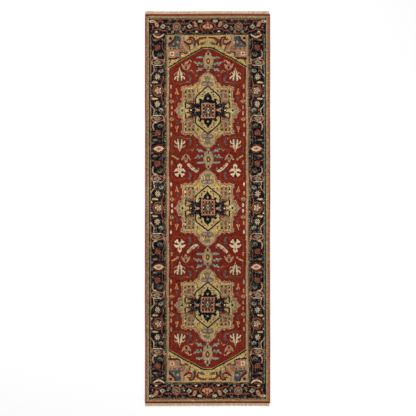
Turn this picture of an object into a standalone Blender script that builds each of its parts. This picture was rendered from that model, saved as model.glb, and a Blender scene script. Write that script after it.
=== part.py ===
"""Hand-knotted wool runner with three medallions, lying flat on the floor.

Metres, +Z up. X runs across the rug and Y along its warps. The origin is at the centre of the underside.
A woven cotton foundation carries the pile, and every area of the design is a pile zone of its own.
Wool-wrapped selvedges close the long sides. A flat-woven band, a lock cord and a warp fringe close each end.
"""

import math

import bmesh
import bpy

# Whole rug
WIDTH = 0.780
LENGTH = 2.461
GAP = 0.0003  # between pieces that touch

# Heights above the floor
FOUNDATION_TOP = 0.0030
PILE_BASE = FOUNDATION_TOP + GAP
PILE_TOP = 0.0093
KILIM_TOP = 0.0030
FRINGE_TOP = 0.0020

# Bands across one half of the width, from the edge inwards
SELVEDGE_WIDTH = 0.0065
SIDE_OUTER_GUARD = 0.032
SIDE_MAIN_BORDER = 0.0855
SIDE_INNER_GUARD = 0.0255

# Bands at one end, from the fringe inwards
FRINGE_LENGTH = 0.0148
LOCK_CORD_DIAMETER = 0.0024
KILIM_LENGTH = 0.0103
END_OUTER_GUARD = 0.025
END_MAIN_BORDER = 0.090
END_INNER_GUARD = 0.013

# Half sizes that follow from the bands
PILE_HALF_WIDTH = WIDTH / 2 - SELVEDGE_WIDTH
BORDER_HALF_WIDTH = PILE_HALF_WIDTH - SIDE_OUTER_GUARD
GUARD_HALF_WIDTH = BORDER_HALF_WIDTH - SIDE_MAIN_BORDER
FIELD_HALF_WIDTH = GUARD_HALF_WIDTH - SIDE_INNER_GUARD

LOCK_CORD_OUTER = LENGTH / 2 - FRINGE_LENGTH - GAP
KILIM_OUTER = LOCK_CORD_OUTER - LOCK_CORD_DIAMETER
PILE_HALF_LENGTH = KILIM_OUTER - GAP - KILIM_LENGTH
BORDER_HALF_LENGTH = PILE_HALF_LENGTH - END_OUTER_GUARD
GUARD_HALF_LENGTH = BORDER_HALF_LENGTH - END_MAIN_BORDER
FIELD_HALF_LENGTH = GUARD_HALF_LENGTH - END_INNER_GUARD

# Selvedge: an oval tube of overcast wool around a bundle of edge warps
SELVEDGE_HEIGHT = 0.0060
WRAP_WALL = 0.0010
SELVEDGE_SIDES = 16
CORD_SIDES = 12

# Fringe: one heading with short tassels of unequal length
TASSEL_PITCH = 0.010
TASSEL_GAP = 0.0008
HEADING_LENGTH = 0.0030
TASSEL_SHORTEST = 0.94  # as a share of the longest

# Design areas of the field, centred by eye: each is a centre (x, y) and a half length
MEDALLIONS = {
    "far": {
        "ground": (0.0005, 0.6130, 0.2385),
        "lozenge": (0.0030, 0.6145, 0.1580),
        "square": (0.0042, 0.6099, 0.0490),
    },
    "middle": {
        "ground": (-0.0005, 0.0030, 0.2410),
        "lozenge": (0.0010, 0.0015, 0.1500),
        "square": (0.0028, 0.0065, 0.0500),
    },
    "near": {
        "ground": (-0.0010, -0.6040, 0.2330),
        "lozenge": (0.0010, -0.6010, 0.1510),
        "square": (0.0016, -0.5988, 0.0485),
    },
}
POLE_PALMETTES = [
    (0.0050, 0.9210, 0.0560),
    (0.0050, 0.3080, 0.0560),
    (0.0020, -0.3043, 0.0560),
    (-0.0010, -0.9105, 0.0560),
]

# One quarter of a medallion's outline, from its end tip round to its side tip
MEDALLION_QUARTER = [
    (0.000, 0.240),
    (0.033, 0.221),
    (0.054, 0.202),
    (0.057, 0.175),
    (0.081, 0.169),
    (0.087, 0.153),
    (0.152, 0.150),
    (0.169, 0.137),
    (0.158, 0.124),
    (0.158, 0.050),
    (0.179, 0.050),
    (0.189, 0.040),
    (0.192, 0.022),
    (0.204, 0.000),
]
# The lozenge in it, with the two side arms of its cross
LOZENGE_QUARTER = [
    (0.000, 0.160),
    (0.073, 0.093),
    (0.082, 0.079),
    (0.082, 0.044),
    (0.102, 0.041),
    (0.112, 0.000),
]
SQUARE_QUARTER = [(0.044, 0.0490)]
PALMETTE_QUARTER = [(0.000, 0.056), (0.020, 0.046), (0.032, 0.024)]

# A spandrel fills one end of the field down to a flat-topped point
SPANDREL_SIDE_REACH = 0.208  # along the field's long edge
SPANDREL_SHOULDER = (0.104, 0.122)  # half width there, and reach
SPANDREL_TIP = (0.027, 0.080)

# Colours as a dyer's card would show them, in sRGB
RED = (0.55, 0.16, 0.12)
NAVY = (0.09, 0.11, 0.17)
GOLD = (0.80, 0.66, 0.40)
STRAW = (0.84, 0.73, 0.47)
SALMON = (0.84, 0.54, 0.42)
PALE_BLUE = (0.56, 0.66, 0.63)
TAN = (0.68, 0.58, 0.42)
SAND = (0.66, 0.57, 0.44)
COTTON = (0.83, 0.76, 0.62)
BRICK = (0.50, 0.14, 0.10)


def clear_scene():
    for obj in list(bpy.data.objects):
        bpy.data.objects.remove(obj, do_unlink=True)


def yarn(name, srgb, roughness=0.95):
    """A matte yarn in one colour."""
    material = bpy.data.materials.new(name)
    material.use_nodes = True
    shader = material.node_tree.nodes["Principled BSDF"]
    linear = [((c + 0.055) / 1.055) ** 2.4 for c in srgb]
    shader.inputs["Base Color"].default_value = (*linear, 1.0)
    shader.inputs["Roughness"].default_value = roughness
    shader.inputs["Metallic"].default_value = 0.0
    material.diffuse_color = (*linear, 1.0)
    return material


def add_object(name, mesh_builder, material):
    """Turns a bmesh into an object with its normals facing out."""
    bmesh.ops.recalc_face_normals(mesh_builder, faces=mesh_builder.faces)
    mesh = bpy.data.meshes.new(name)
    mesh_builder.to_mesh(mesh)
    mesh_builder.free()
    obj = bpy.data.objects.new(name, mesh)
    if material:
        mesh.materials.append(material)
    bpy.context.scene.collection.objects.link(obj)
    return obj


def four_quarters(quarter, place):
    """Mirrors a quarter outline about both axes, stretches it along Y and puts it in its place.

    The quarter runs from the Y axis round to the X axis. The place is a centre (x, y) and a half length.
    """
    centre_x, centre_y, half_length = place
    stretch = half_length / quarter[0][1]
    right = quarter + [(x, -y) for x, y in reversed(quarter) if y != 0.0]
    left = [(-x, -y) for x, y in right if x != 0.0]
    return [(x + centre_x, y * stretch + centre_y) for x, y in right + left]


def grown(outline, distance):
    """The outline moved out by a distance, with mitred corners. The outline runs clockwise."""
    moved = []
    for index, (x, y) in enumerate(outline):
        before = outline[index - 1]
        after = outline[(index + 1) % len(outline)]
        edges = []
        for (x0, y0), (x1, y1) in ((before, (x, y)), ((x, y), after)):
            length = math.hypot(x1 - x0, y1 - y0)
            edges.append(((y0 - y1) / length, (x1 - x0) / length))
        (ax, ay), (bx, by) = edges
        scale = distance / (1.0 + ax * bx + ay * by)
        moved.append((x + (ax + bx) * scale, y + (ay + by) * scale))
    return moved


def rectangle(x0, x1, y0, y1):
    return [(x0, y0), (x0, y1), (x1, y1), (x1, y0)]


def prism(name, outline, bottom, top, material):
    """A closed solid that stands straight up over an outline."""
    builder = bmesh.new()
    base = builder.faces.new([builder.verts.new((x, y, bottom)) for x, y in outline])
    raised = bmesh.ops.extrude_face_region(builder, geom=[base])["geom"]
    corners = [item for item in raised if isinstance(item, bmesh.types.BMVert)]
    bmesh.ops.translate(builder, verts=corners, vec=(0.0, 0.0, top - bottom))
    return add_object(name, builder, material)


def pile_zone(name, outline, material):
    """A zone of knotted pile. It stops half a gap short of its outline, and so does its neighbour."""
    return prism(name, grown(outline, -GAP / 2), PILE_BASE, PILE_TOP, material)


def cut_zone(zone, name, outline):
    """Leaves room in a zone for the zone that fills this outline."""
    cutter = prism(f"cutter_{name}", grown(outline, GAP / 2), PILE_BASE / 2, 2 * PILE_TOP, None)
    cutter.hide_render = True
    cutter.display_type = "WIRE"
    boolean = zone.modifiers.new(f"room_for_{name}", "BOOLEAN")
    boolean.operation = "DIFFERENCE"
    boolean.solver = "EXACT"
    boolean.object = cutter


def oval(half_width, half_height, sides):
    turns = [2 * math.pi * (i + 0.5) / sides for i in range(sides)]
    return [(half_width * math.cos(t), half_height * math.sin(t)) for t in turns]


def smooth_sides(obj):
    obj.data.shade_smooth()
    obj.data.set_sharp_from_angle(angle=math.radians(50))


def rod(name, section, start, end, centre, material):
    """A solid bar with this (across, up) section. It runs along Y, or along X where the ends say so."""
    builder = bmesh.new()
    loops = []
    for where in (start, end):
        points = [place_on_axis(where, across, up, centre) for across, up in section]
        loops.append([builder.verts.new(point) for point in points])
    for index in range(len(section)):
        after = (index + 1) % len(section)
        builder.faces.new((loops[0][index], loops[0][after], loops[1][after], loops[1][index]))
    for loop in loops:
        builder.faces.new(loop)
    obj = add_object(name, builder, material)
    smooth_sides(obj)
    return obj


def place_on_axis(where, across, up, centre):
    """A point at a station (axis, distance), offset across the bar and up from its centre line."""
    axis, distance = where
    if axis == "X":
        return (distance, centre[0] + across, centre[1] + up)
    return (centre[0] + across, distance, centre[1] + up)


def sleeve(name, outer, inner, half_length, centre, material):
    """An open tube along Y between two sections with the same number of points."""
    builder = bmesh.new()
    ends = []
    for distance in (-half_length, half_length):
        where = ("Y", distance)
        rings = [[builder.verts.new(place_on_axis(where, *p, centre)) for p in s] for s in (outer, inner)]
        ends.append(rings)
    (near_outer, near_inner), (far_outer, far_inner) = ends
    for first, second in (
        (near_outer, far_outer),
        (far_outer, far_inner),
        (far_inner, near_inner),
        (near_inner, near_outer),
    ):
        for index in range(len(outer)):
            after = (index + 1) % len(outer)
            builder.faces.new((first[index], first[after], second[after], second[index]))
    obj = add_object(name, builder, material)
    smooth_sides(obj)
    return obj


def build_foundation():
    half_width = PILE_HALF_WIDTH - GAP
    outline = rectangle(-half_width, half_width, -PILE_HALF_LENGTH, PILE_HALF_LENGTH)
    prism("foundation", outline, 0.0, FOUNDATION_TOP, yarn("foundation_cotton", COTTON))


def build_band(label, outer, inner, material):
    """Four pile strips between two half sizes. Those at the ends run the full width."""
    (outer_x, outer_y), (inner_x, inner_y) = outer, inner
    pile_zone(f"{label}_far", rectangle(-outer_x, outer_x, inner_y, outer_y), material)
    pile_zone(f"{label}_near", rectangle(-outer_x, outer_x, -outer_y, -inner_y), material)
    pile_zone(f"{label}_left", rectangle(-outer_x, -inner_x, -inner_y, inner_y), material)
    pile_zone(f"{label}_right", rectangle(inner_x, outer_x, -inner_y, inner_y), material)


def build_borders():
    pile = (PILE_HALF_WIDTH - GAP / 2, PILE_HALF_LENGTH + GAP / 2)
    border = (BORDER_HALF_WIDTH, BORDER_HALF_LENGTH)
    guard = (GUARD_HALF_WIDTH, GUARD_HALF_LENGTH)
    field = (FIELD_HALF_WIDTH, FIELD_HALF_LENGTH)
    build_band("outer_guard_pile", pile, border, yarn("outer_guard_wool", TAN))
    build_band("main_border_pile", border, guard, yarn("main_border_wool", NAVY))
    build_band("inner_guard_pile", guard, field, yarn("inner_guard_wool", SAND))


def spandrel_outline(side):
    """The end of the field beyond its point. Side is 1 at the far end and -1 at the near end."""
    shoulder_x, shoulder_reach = SPANDREL_SHOULDER
    tip_x, tip_reach = SPANDREL_TIP
    half = [
        (FIELD_HALF_WIDTH, FIELD_HALF_LENGTH),
        (FIELD_HALF_WIDTH, FIELD_HALF_LENGTH - SPANDREL_SIDE_REACH),
        (shoulder_x, FIELD_HALF_LENGTH - shoulder_reach),
        (tip_x, FIELD_HALF_LENGTH - tip_reach),
    ]
    far = half + [(-x, y) for x, y in reversed(half)]
    return far if side > 0 else [(x, -y) for x, y in reversed(far)]


def build_field():
    """The red field with the zones that stand in it, each cut out of the one around it."""
    outline = rectangle(-FIELD_HALF_WIDTH, FIELD_HALF_WIDTH, -FIELD_HALF_LENGTH, FIELD_HALF_LENGTH)
    field = pile_zone("field_pile", outline, yarn("field_wool", RED))

    spandrel_wool = yarn("spandrel_wool", STRAW)
    for end, side in (("far", 1), ("near", -1)):
        outline = spandrel_outline(side)
        pile_zone(f"spandrel_pile_{end}", outline, spandrel_wool)
        cut_zone(field, f"spandrel_{end}", outline)

    palmette_wool = yarn("pole_palmette_wool", PALE_BLUE)
    for number, place in enumerate(POLE_PALMETTES, start=1):
        outline = four_quarters(PALMETTE_QUARTER, place)
        pile_zone(f"pole_palmette_pile_{number}", outline, palmette_wool)
        cut_zone(field, f"pole_palmette_{number}", outline)

    ground_wool = yarn("medallion_ground_wool", GOLD)
    lozenge_wool = yarn("medallion_lozenge_wool", NAVY)
    square_wool = yarn("medallion_square_wool", SALMON)
    for label, places in MEDALLIONS.items():
        ground_outline = four_quarters(MEDALLION_QUARTER, places["ground"])
        lozenge_outline = four_quarters(LOZENGE_QUARTER, places["lozenge"])
        square_outline = four_quarters(SQUARE_QUARTER, places["square"])
        ground = pile_zone(f"medallion_ground_pile_{label}", ground_outline, ground_wool)
        lozenge = pile_zone(f"medallion_lozenge_pile_{label}", lozenge_outline, lozenge_wool)
        pile_zone(f"medallion_square_pile_{label}", square_outline, square_wool)
        cut_zone(field, f"medallion_ground_{label}", ground_outline)
        cut_zone(ground, f"medallion_lozenge_{label}", lozenge_outline)
        cut_zone(lozenge, f"medallion_square_{label}", square_outline)


def build_selvedges():
    """Edge warps in a wool wrap along both long sides."""
    wrap_wool = yarn("selvedge_wool", BRICK)
    core_cotton = yarn("selvedge_core_cotton", COTTON)
    half_width = SELVEDGE_WIDTH / 2
    half_height = SELVEDGE_HEIGHT / 2
    core_inset = WRAP_WALL + GAP
    outer = oval(half_width, half_height, SELVEDGE_SIDES)
    lowest = min(up for _, up in outer)
    inner = oval(half_width - WRAP_WALL, half_height - WRAP_WALL, SELVEDGE_SIDES)
    core = oval(half_width - core_inset, half_height - core_inset, SELVEDGE_SIDES)
    for label, side in (("left", -1), ("right", 1)):
        centre = (side * (WIDTH / 2 - half_width), -lowest)
        sleeve(f"selvedge_wrap_{label}", outer, inner, PILE_HALF_LENGTH, centre, wrap_wool)
        ends = (("Y", -PILE_HALF_LENGTH), ("Y", PILE_HALF_LENGTH))
        rod(f"selvedge_core_{label}", core, *ends, centre, core_cotton)


def tassel_share(index):
    """How long a tassel is, as a share of the longest. It wanders along the fringe."""
    wander = 0.5 + 0.25 * (math.sin(1.7 * index) + math.sin(0.63 * index + 1.0))
    return TASSEL_SHORTEST + (1.0 - TASSEL_SHORTEST) * wander


def fringe_outline(side):
    """A comb: the heading at the lock cord, and tassels out to the end of the rug."""
    inner = LOCK_CORD_OUTER + GAP
    heading = inner + HEADING_LENGTH
    count = round(WIDTH / TASSEL_PITCH)
    pitch = WIDTH / count
    points = [(-WIDTH / 2, inner)]
    for index in range(count):
        left = -WIDTH / 2 + index * pitch
        right = left + pitch - (TASSEL_GAP if index < count - 1 else 0.0)
        tip = inner + FRINGE_LENGTH * tassel_share(index)
        points += [(left, tip), (right, tip)]
        if index < count - 1:
            points += [(right, heading), (left + pitch, heading)]
    points.append((WIDTH / 2, inner))
    longest = max(y for _, y in points)
    points = [(x, LENGTH / 2 if y == longest else y) for x, y in points]
    return points if side > 0 else [(x, -y) for x, y in reversed(points)]


def build_ends():
    """The flat-woven band, the lock cord and the fringe at each end."""
    kilim_wool = yarn("kilim_wool", BRICK)
    cord_cotton = yarn("lock_cord_cotton", SAND)
    fringe_cotton = yarn("fringe_cotton", COTTON)
    cord_radius = LOCK_CORD_DIAMETER / 2
    section = oval(cord_radius, cord_radius, CORD_SIDES)
    lowest = min(up for _, up in section)
    kilim_inner = PILE_HALF_LENGTH + GAP
    for label, side in (("far", 1), ("near", -1)):
        low, high = sorted((side * kilim_inner, side * (KILIM_OUTER - GAP)))
        outline = rectangle(-WIDTH / 2, WIDTH / 2, low, high)
        prism(f"kilim_band_{label}", outline, 0.0, KILIM_TOP, kilim_wool)
        centre = (side * (LOCK_CORD_OUTER - cord_radius), -lowest)
        ends = (("X", -WIDTH / 2), ("X", WIDTH / 2))
        rod(f"lock_cord_{label}", section, *ends, centre, cord_cotton)
        prism(f"fringe_{label}", fringe_outline(side), 0.0, FRINGE_TOP, fringe_cotton)


clear_scene()
build_foundation()
build_borders()
build_field()
build_selvedges()
build_ends()
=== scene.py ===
"""A hand-knotted wool runner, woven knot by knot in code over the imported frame."""

import math

import bpy
import numpy as np
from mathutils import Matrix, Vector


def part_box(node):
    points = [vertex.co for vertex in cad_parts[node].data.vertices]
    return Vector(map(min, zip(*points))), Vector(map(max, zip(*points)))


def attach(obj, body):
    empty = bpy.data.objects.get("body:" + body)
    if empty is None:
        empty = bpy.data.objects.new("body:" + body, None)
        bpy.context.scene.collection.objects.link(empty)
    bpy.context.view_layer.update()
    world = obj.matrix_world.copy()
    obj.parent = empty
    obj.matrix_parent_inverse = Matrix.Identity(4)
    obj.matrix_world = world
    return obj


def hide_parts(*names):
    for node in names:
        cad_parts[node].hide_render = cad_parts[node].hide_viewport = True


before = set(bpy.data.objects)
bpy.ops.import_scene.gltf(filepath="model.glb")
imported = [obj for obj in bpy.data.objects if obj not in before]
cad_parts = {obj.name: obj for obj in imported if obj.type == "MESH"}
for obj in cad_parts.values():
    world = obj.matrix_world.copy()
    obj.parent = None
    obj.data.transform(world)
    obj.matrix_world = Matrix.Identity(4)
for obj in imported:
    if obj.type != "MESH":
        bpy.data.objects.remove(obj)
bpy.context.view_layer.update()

# ---------------------------------------------------------------- yarns

# Dyed yarns as they look in even light, in sRGB from 0 to 255
YARN_COLOURS = {
    "red": (121, 33, 17),
    "deep_red": (84, 27, 21),
    "rust": (132, 72, 46),
    "brick": (112, 44, 30),
    "navy": (8, 13, 22),
    "ink": (17, 12, 10),
    "maroon": (54, 20, 22),
    "indigo": (16, 32, 45),
    "blue": (52, 72, 78),
    "slate": (96, 102, 96),
    "sky": (138, 148, 132),
    "teal": (84, 102, 92),
    "olive": (78, 70, 42),
    "moss": (112, 98, 64),
    "leaf": (100, 106, 80),
    "sage": (134, 126, 98),
    "gold": (180, 146, 88),
    "straw": (188, 162, 98),
    "buff": (158, 128, 80),
    "cream": (212, 193, 157),
    "ivory": (218, 204, 178),
    "salmon": (167, 107, 80),
    "pink": (181, 135, 107),
    "orange": (173, 111, 63),
    "tan": (150, 124, 92),
    "sand": (166, 140, 104),
    "brown": (88, 62, 44),
    "vine": (116, 74, 48),
}
YARNS = {name: number for number, name in enumerate(YARN_COLOURS)}

# Yarns of one colour in the foundation and the edges
COTTON = (206, 192, 166)
SELVEDGE_RED = (150, 44, 20)
SELVEDGE_CORE_COTTON = (214, 200, 172)
KILIM_RED = (137, 28, 9)
LOCK_CORD_BROWN = (150, 96, 74)
CLEAN_COTTON = (234, 213, 172)  # lightest thread of the fringe
DUSTY_COTTON = (172, 147, 106)  # darkest thread of the fringe

# ---------------------------------------------------------------- knot grid

KNOT = 3.0  # mm between knots, across and along
REACH_SLACK = 2.0  # mm by which the drawing can wander from the grid
SIDE_BORDER_AXIS = 309.0  # mm from the middle of the rug
SIDE_BORDER_MIDDLE = 5.6  # mm towards the far end at which the middle rosettes lie
SIDE_UNIT = 365  # mm from a rosette to a lozenge, as draw_side_unit draws it
END_BORDER_INSET = 42.4  # mm from the edge of an end border's navy ground to its middle line
END_BORDER_SHIFT = 1.5  # mm across from the middle of the rug
NEAR_NAVY_EXTRA = 9.0  # mm by which the near end's navy ground runs on into the outer guard
NEAR_LINE_EXTRA = 3.0  # mm by which the line beyond it lies further out than at the far end


class Loom:
    """The grid of knots, which holds one yarn number for each. It works in millimetres."""

    def __init__(self, half_width, half_length):
        self.columns = round(2 * half_width / KNOT)
        self.rows = round(2 * half_length / KNOT)
        self.edge_x = np.linspace(-half_width, half_width, self.columns + 1)
        self.edge_y = np.linspace(-half_length, half_length, self.rows + 1)
        self.x = (self.edge_x[1:] + self.edge_x[:-1]) / 2
        self.y = (self.edge_y[1:] + self.edge_y[:-1]) / 2
        self.yarn = np.zeros((self.rows, self.columns), np.uint8)
        # Where each knot falls in the drawing, which wanders a little as a weaver's hand does
        across, along = np.meshgrid(self.x, self.y)
        self.seen_x = across + 0.8 * np.sin(along / 61.0 + across / 90.0) + 0.4 * np.sin(along / 17.0)
        self.seen_y = along + 0.9 * np.sin(across / 47.0 + along / 130.0) + 0.5 * np.sin(across / 13.0)

    def near(self, px, py, margin=0.0):
        """The rows and columns that a shape can touch, and where their knots fall in the drawing."""
        margin += REACH_SLACK
        columns = slice(*np.searchsorted(self.x, (px.min() - margin, px.max() + margin)))
        rows = slice(*np.searchsorted(self.y, (py.min() - margin, py.max() + margin)))
        return self.yarn[rows, columns], self.seen_x[rows, columns], self.seen_y[rows, columns]

    def fill(self, px, py, yarn):
        """Paints the inside of a polygon."""
        knots, x, y = self.near(px, py)
        knots[inside_polygon(x, y, px, py)] = yarn

    def stroke(self, px, py, width, yarn):
        """Paints a band along a line."""
        knots, x, y = self.near(px, py, width / 2)
        knots[distance_to_line(x, y, px, py) <= width / 2] = yarn

    def bands(self, px, py, steps):
        """Fills a closed outline with bands that follow it. Each step is a depth and a yarn."""
        knots, x, y = self.near(px, py)
        inside = inside_polygon(x, y, px, py)
        depth = distance_to_line(x, y, np.append(px, px[0]), np.append(py, py[0]))
        for least, yarn in steps:
            knots[inside & (depth >= least)] = yarn


def inside_polygon(x, y, px, py):
    """Which of the places x, y lie inside the polygon."""
    inside = np.zeros(x.shape, bool)
    for x0, y0, x1, y1 in zip(px, py, np.roll(px, -1), np.roll(py, -1)):
        if y0 != y1:
            crossing = (y0 > y) != (y1 > y)
            inside ^= crossing & (x < x0 + (y - y0) * (x1 - x0) / (y1 - y0))
    return inside


def distance_to_line(x, y, px, py):
    """How far the places x, y are from a line through the points."""
    nearest = np.full(x.shape, np.inf)
    for x0, y0, dx, dy in zip(px, py, np.diff(px), np.diff(py)):
        length_squared = max(dx * dx + dy * dy, 1e-9)
        share = np.clip(((x - x0) * dx + (y - y0) * dy) / length_squared, 0.0, 1.0)
        nearest = np.minimum(nearest, np.hypot(x - x0 - share * dx, y - y0 - share * dy))
    return nearest


class Pen:
    """Draws shapes on a loom at several places at once. A place is an origin and a scale for each axis."""

    def __init__(self, loom, places=((0.0, 0.0, 1.0, 1.0),)):
        self.loom = loom
        self.places = tuple(places)

    def at(self, x, y, scale_x=1.0, scale_y=1.0):
        """The same again with its origin moved, and scaled."""
        moved = [(ox + sx * x, oy + sy * y, sx * scale_x, sy * scale_y) for ox, oy, sx, sy in self.places]
        return Pen(self.loom, moved)

    def fitted(self, box, reach):
        """The same again, scaled so that a drawing with that reach fills the box."""
        x, y, half_x, half_y = box
        return self.at(x, y, half_x / reach[0], half_y / reach[1])

    def both_sides(self):
        """The same again, mirrored left to right about its own origin."""
        return Pen(self.loom, self.places + tuple((ox, oy, -sx, sy) for ox, oy, sx, sy in self.places))

    def both_long_sides(self):
        """The same again, on the other side of the rug's middle line."""
        return Pen(self.loom, self.places + tuple((-ox, oy, -sx, sy) for ox, oy, sx, sy in self.places))

    def both_ends(self):
        """The same again, mirrored far to near about its own origin."""
        return Pen(self.loom, self.places + tuple((ox, oy, sx, -sy) for ox, oy, sx, sy in self.places))

    def quarters(self):
        return self.both_sides().both_ends()

    def fill(self, points, yarn):
        px, py = np.array(points, float).T
        for ox, oy, sx, sy in self.places:
            self.loom.fill(ox + sx * px, oy + sy * py, YARNS[yarn])

    def bands(self, points, steps):
        px, py = np.array(points, float).T
        numbered = [(least, YARNS[yarn]) for least, yarn in steps]
        for ox, oy, sx, sy in self.places:
            self.loom.bands(ox + sx * px, oy + sy * py, numbered)

    def line(self, points, width, yarn):
        px, py = np.array(points, float).T
        for ox, oy, sx, sy in self.places:
            self.loom.stroke(ox + sx * px, oy + sy * py, width, YARNS[yarn])

    def curve(self, points, width, yarn):
        """A line that runs smoothly through its points."""
        self.line(smooth(points), width, yarn)

    def loop(self, points, width, yarn):
        self.line(list(points) + [points[0]], width, yarn)

    def box(self, x0, x1, y0, y1, yarn):
        self.fill([(x0, y0), (x1, y0), (x1, y1), (x0, y1)], yarn)

    def gem(self, x, y, rx, ry, yarn):
        self.fill([(x - rx, y), (x, y + ry), (x + rx, y), (x, y - ry)], yarn)

    def spot(self, x, y, rx, ry, yarn):
        self.fill(round_outline(x, y, rx, ry), yarn)

    def spots(self, *spots):
        """Round spots in the order given, each as its centre, its two radii and its yarn."""
        for spot in spots:
            self.spot(*spot)

    def lines(self, *lines):
        """Lines in the order given, each as its points, its width and its yarn."""
        for line in lines:
            self.line(*line)

    def curves(self, *curves):
        """Curves in the order given, each as its points, its width and its yarn."""
        for curve in curves:
            self.curve(*curve)


def smooth(points, steps=5):
    """Catmull-Rom points through the given ones."""
    p = np.array([points[0], *points, points[-1]], float)
    made = []
    for a, b, c, d in zip(p, p[1:], p[2:], p[3:]):
        for t in np.arange(steps) / steps:
            square = 2 * a - 5 * b + 4 * c - d
            cube = 3 * b - a - 3 * c + d
            made.append(0.5 * (2 * b + (c - a) * t + square * t * t + cube * t**3))
    return made + [points[-1]]


def round_outline(x, y, rx, ry, sides=14):
    turns = 2 * math.pi * np.arange(sides) / sides
    return [(x + rx * math.cos(t), y + ry * math.sin(t)) for t in turns]


def mirrored(right):
    """A closed outline from its right half, given from one end of the Y axis to the other."""
    return right + [(-x, y) for x, y in reversed(right) if x != 0]


def four_quarters(quarter):
    """A closed outline from one quarter of it, given from the Y axis round to the X axis."""
    return mirrored(quarter + [(x, -y) for x, y in reversed(quarter) if y != 0])


# ---------------------------------------------------------------- medallion

MEDALLION_QUARTER = [
    (0, 240), (33, 221), (54, 202), (57, 175), (81, 169), (87, 153), (152, 150),
    (169, 137), (158, 124), (158, 50), (179, 50), (189, 40), (192, 22), (204, 0),
]
LOZENGE_QUARTER = [(0, 160), (73, 93), (82, 79), (82, 44), (102, 41), (112, 0)]
# Half widths and half lengths at which the parts of a medallion are drawn
MEDALLION_REACH, LOZENGE_REACH, SQUARE_REACH = (204, 240), (112, 160), (44, 49)
# The ragged outline that is woven over the medallion's own
MEDALLION_EDGE = [
    (0, 243), (13, 238), (27, 228), (41, 214), (51, 202), (56, 190), (57, 177), (72, 172), (82, 163),
    (88, 152), (98, 151), (103, 161), (108, 160), (113, 151), (128, 151), (135, 158), (140, 157),
    (146, 150), (152, 151), (166, 143), (160, 132), (158, 120), (158, 76), (164, 70), (158, 60),
    (163, 50), (171, 46), (179, 48), (185, 41), (184, 31), (190, 19), (198, 8), (209, 0),
]


def draw_medallion(pen, ground, lozenge, square):
    """One medallion. Each of the three boxes is a centre and half sizes from the frame."""
    at_ground = pen.fitted(ground, MEDALLION_REACH)
    draw_medallion_ground(at_ground)
    draw_end_lobe(at_ground.quarters())
    draw_corner_square(at_ground.quarters())
    draw_side_lobe(at_ground.quarters())
    draw_lozenge(pen.fitted(lozenge, LOZENGE_REACH))
    draw_square(pen.fitted(square, SQUARE_REACH))


def draw_medallion_ground(pen):
    """The banded ground of a medallion, with its shoulders and the marks on its straw."""
    edge = four_quarters(MEDALLION_EDGE)
    pen.bands(edge, ((0, "sand"), (2.8, "salmon"), (5.8, "brown"), (8.4, "straw"), (16, "buff")))
    quarter = pen.quarters()
    quarter.lines(
        ([(0, 242), (26, 228), (50, 203), (56, 190), (56, 178)], 3, "slate"),
        ([(14, 228), (32, 214), (43, 200), (46, 186)], 3, "pink"),
    )
    # Straw ground between the lozenge and the corner squares
    quarter.fill([(0, 214), (30, 200), (44, 184), (44, 166), (60, 150), (80, 132), (82, 100), (84, 60),
                  (0, 120)], "straw")
    quarter.fill([(143, 60), (143, 20), (132, 0), (150, 0), (152, 60)], "straw")
    # Stepped salmon shoulder with its brown inner line
    quarter.spot(54, 168, 8, 7, "salmon")
    quarter.lines(
        ([(46, 196), (49, 178), (62, 162), (67, 150), (70, 142), (82, 139)], 4.2, "vine"),
        ([(62, 174), (75, 166), (80, 156), (84, 149)], 4.5, "pink"),
    )
    quarter.spot(45, 212, 5, 5, "teal")
    quarter.fill([(151, 151), (166, 147), (169, 140), (157, 137)], "sky")
    quarter.spots(
        (162, 70, 4.5, 8, "sky"), (93, 147, 5, 3.5, "sky"), (163, 130, 4.5, 5, "pink"),
        (157, 40, 4, 5, "salmon"),
    )
    # Brown dashes and small marks on the straw
    quarter.spots(
        (62, 121, 5.5, 10, "vine"), (38, 146, 3.4, 6.5, "buff"), (50, 154, 3, 3.5, "sage"),
        (71, 130, 3.4, 3.4, "pink"), (44, 132, 3, 4, "gold"), (75, 112, 3.4, 4, "sage"),
    )


def draw_end_lobe(pen):
    """The palmette in the lobe at the end of a medallion."""
    pen.spots(
        (31, 196, 3.5, 3.5, "brown"), (17, 217, 4, 3.4, "leaf"), (36, 184, 4, 4.5, "gold"),
        (8, 226, 4, 3.5, "gold"), (30, 200, 4.5, 4, "pink"), (20, 208, 3.5, 3.5, "brown"),
    )
    pen.fill([(0, 216), (7, 213), (9, 207), (17, 205), (17, 195), (13, 188), (14, 178), (32, 178),
              (40, 168), (38, 156), (28, 151), (0, 150)], "slate")
    pen.spots(
        (12, 202, 4, 3.6, "blue"), (2, 190, 7, 9, "orange"), (10, 180, 3.4, 3.6, "ink"),
        (2, 176, 4, 4, "gold"),
    )
    pen.fill([(4, 169), (28, 169), (32, 162), (26, 156), (4, 158)], "salmon")
    pen.spots(
        (16, 163, 6, 3.4, "pink"), (0, 174, 5, 3.4, "ink"), (24, 179, 3.5, 3.5, "blue"),
        (12, 152, 5, 3.4, "teal"), (0, 158, 3.4, 5, "brown"), (40, 158, 3.4, 3.4, "salmon"),
    )


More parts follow.
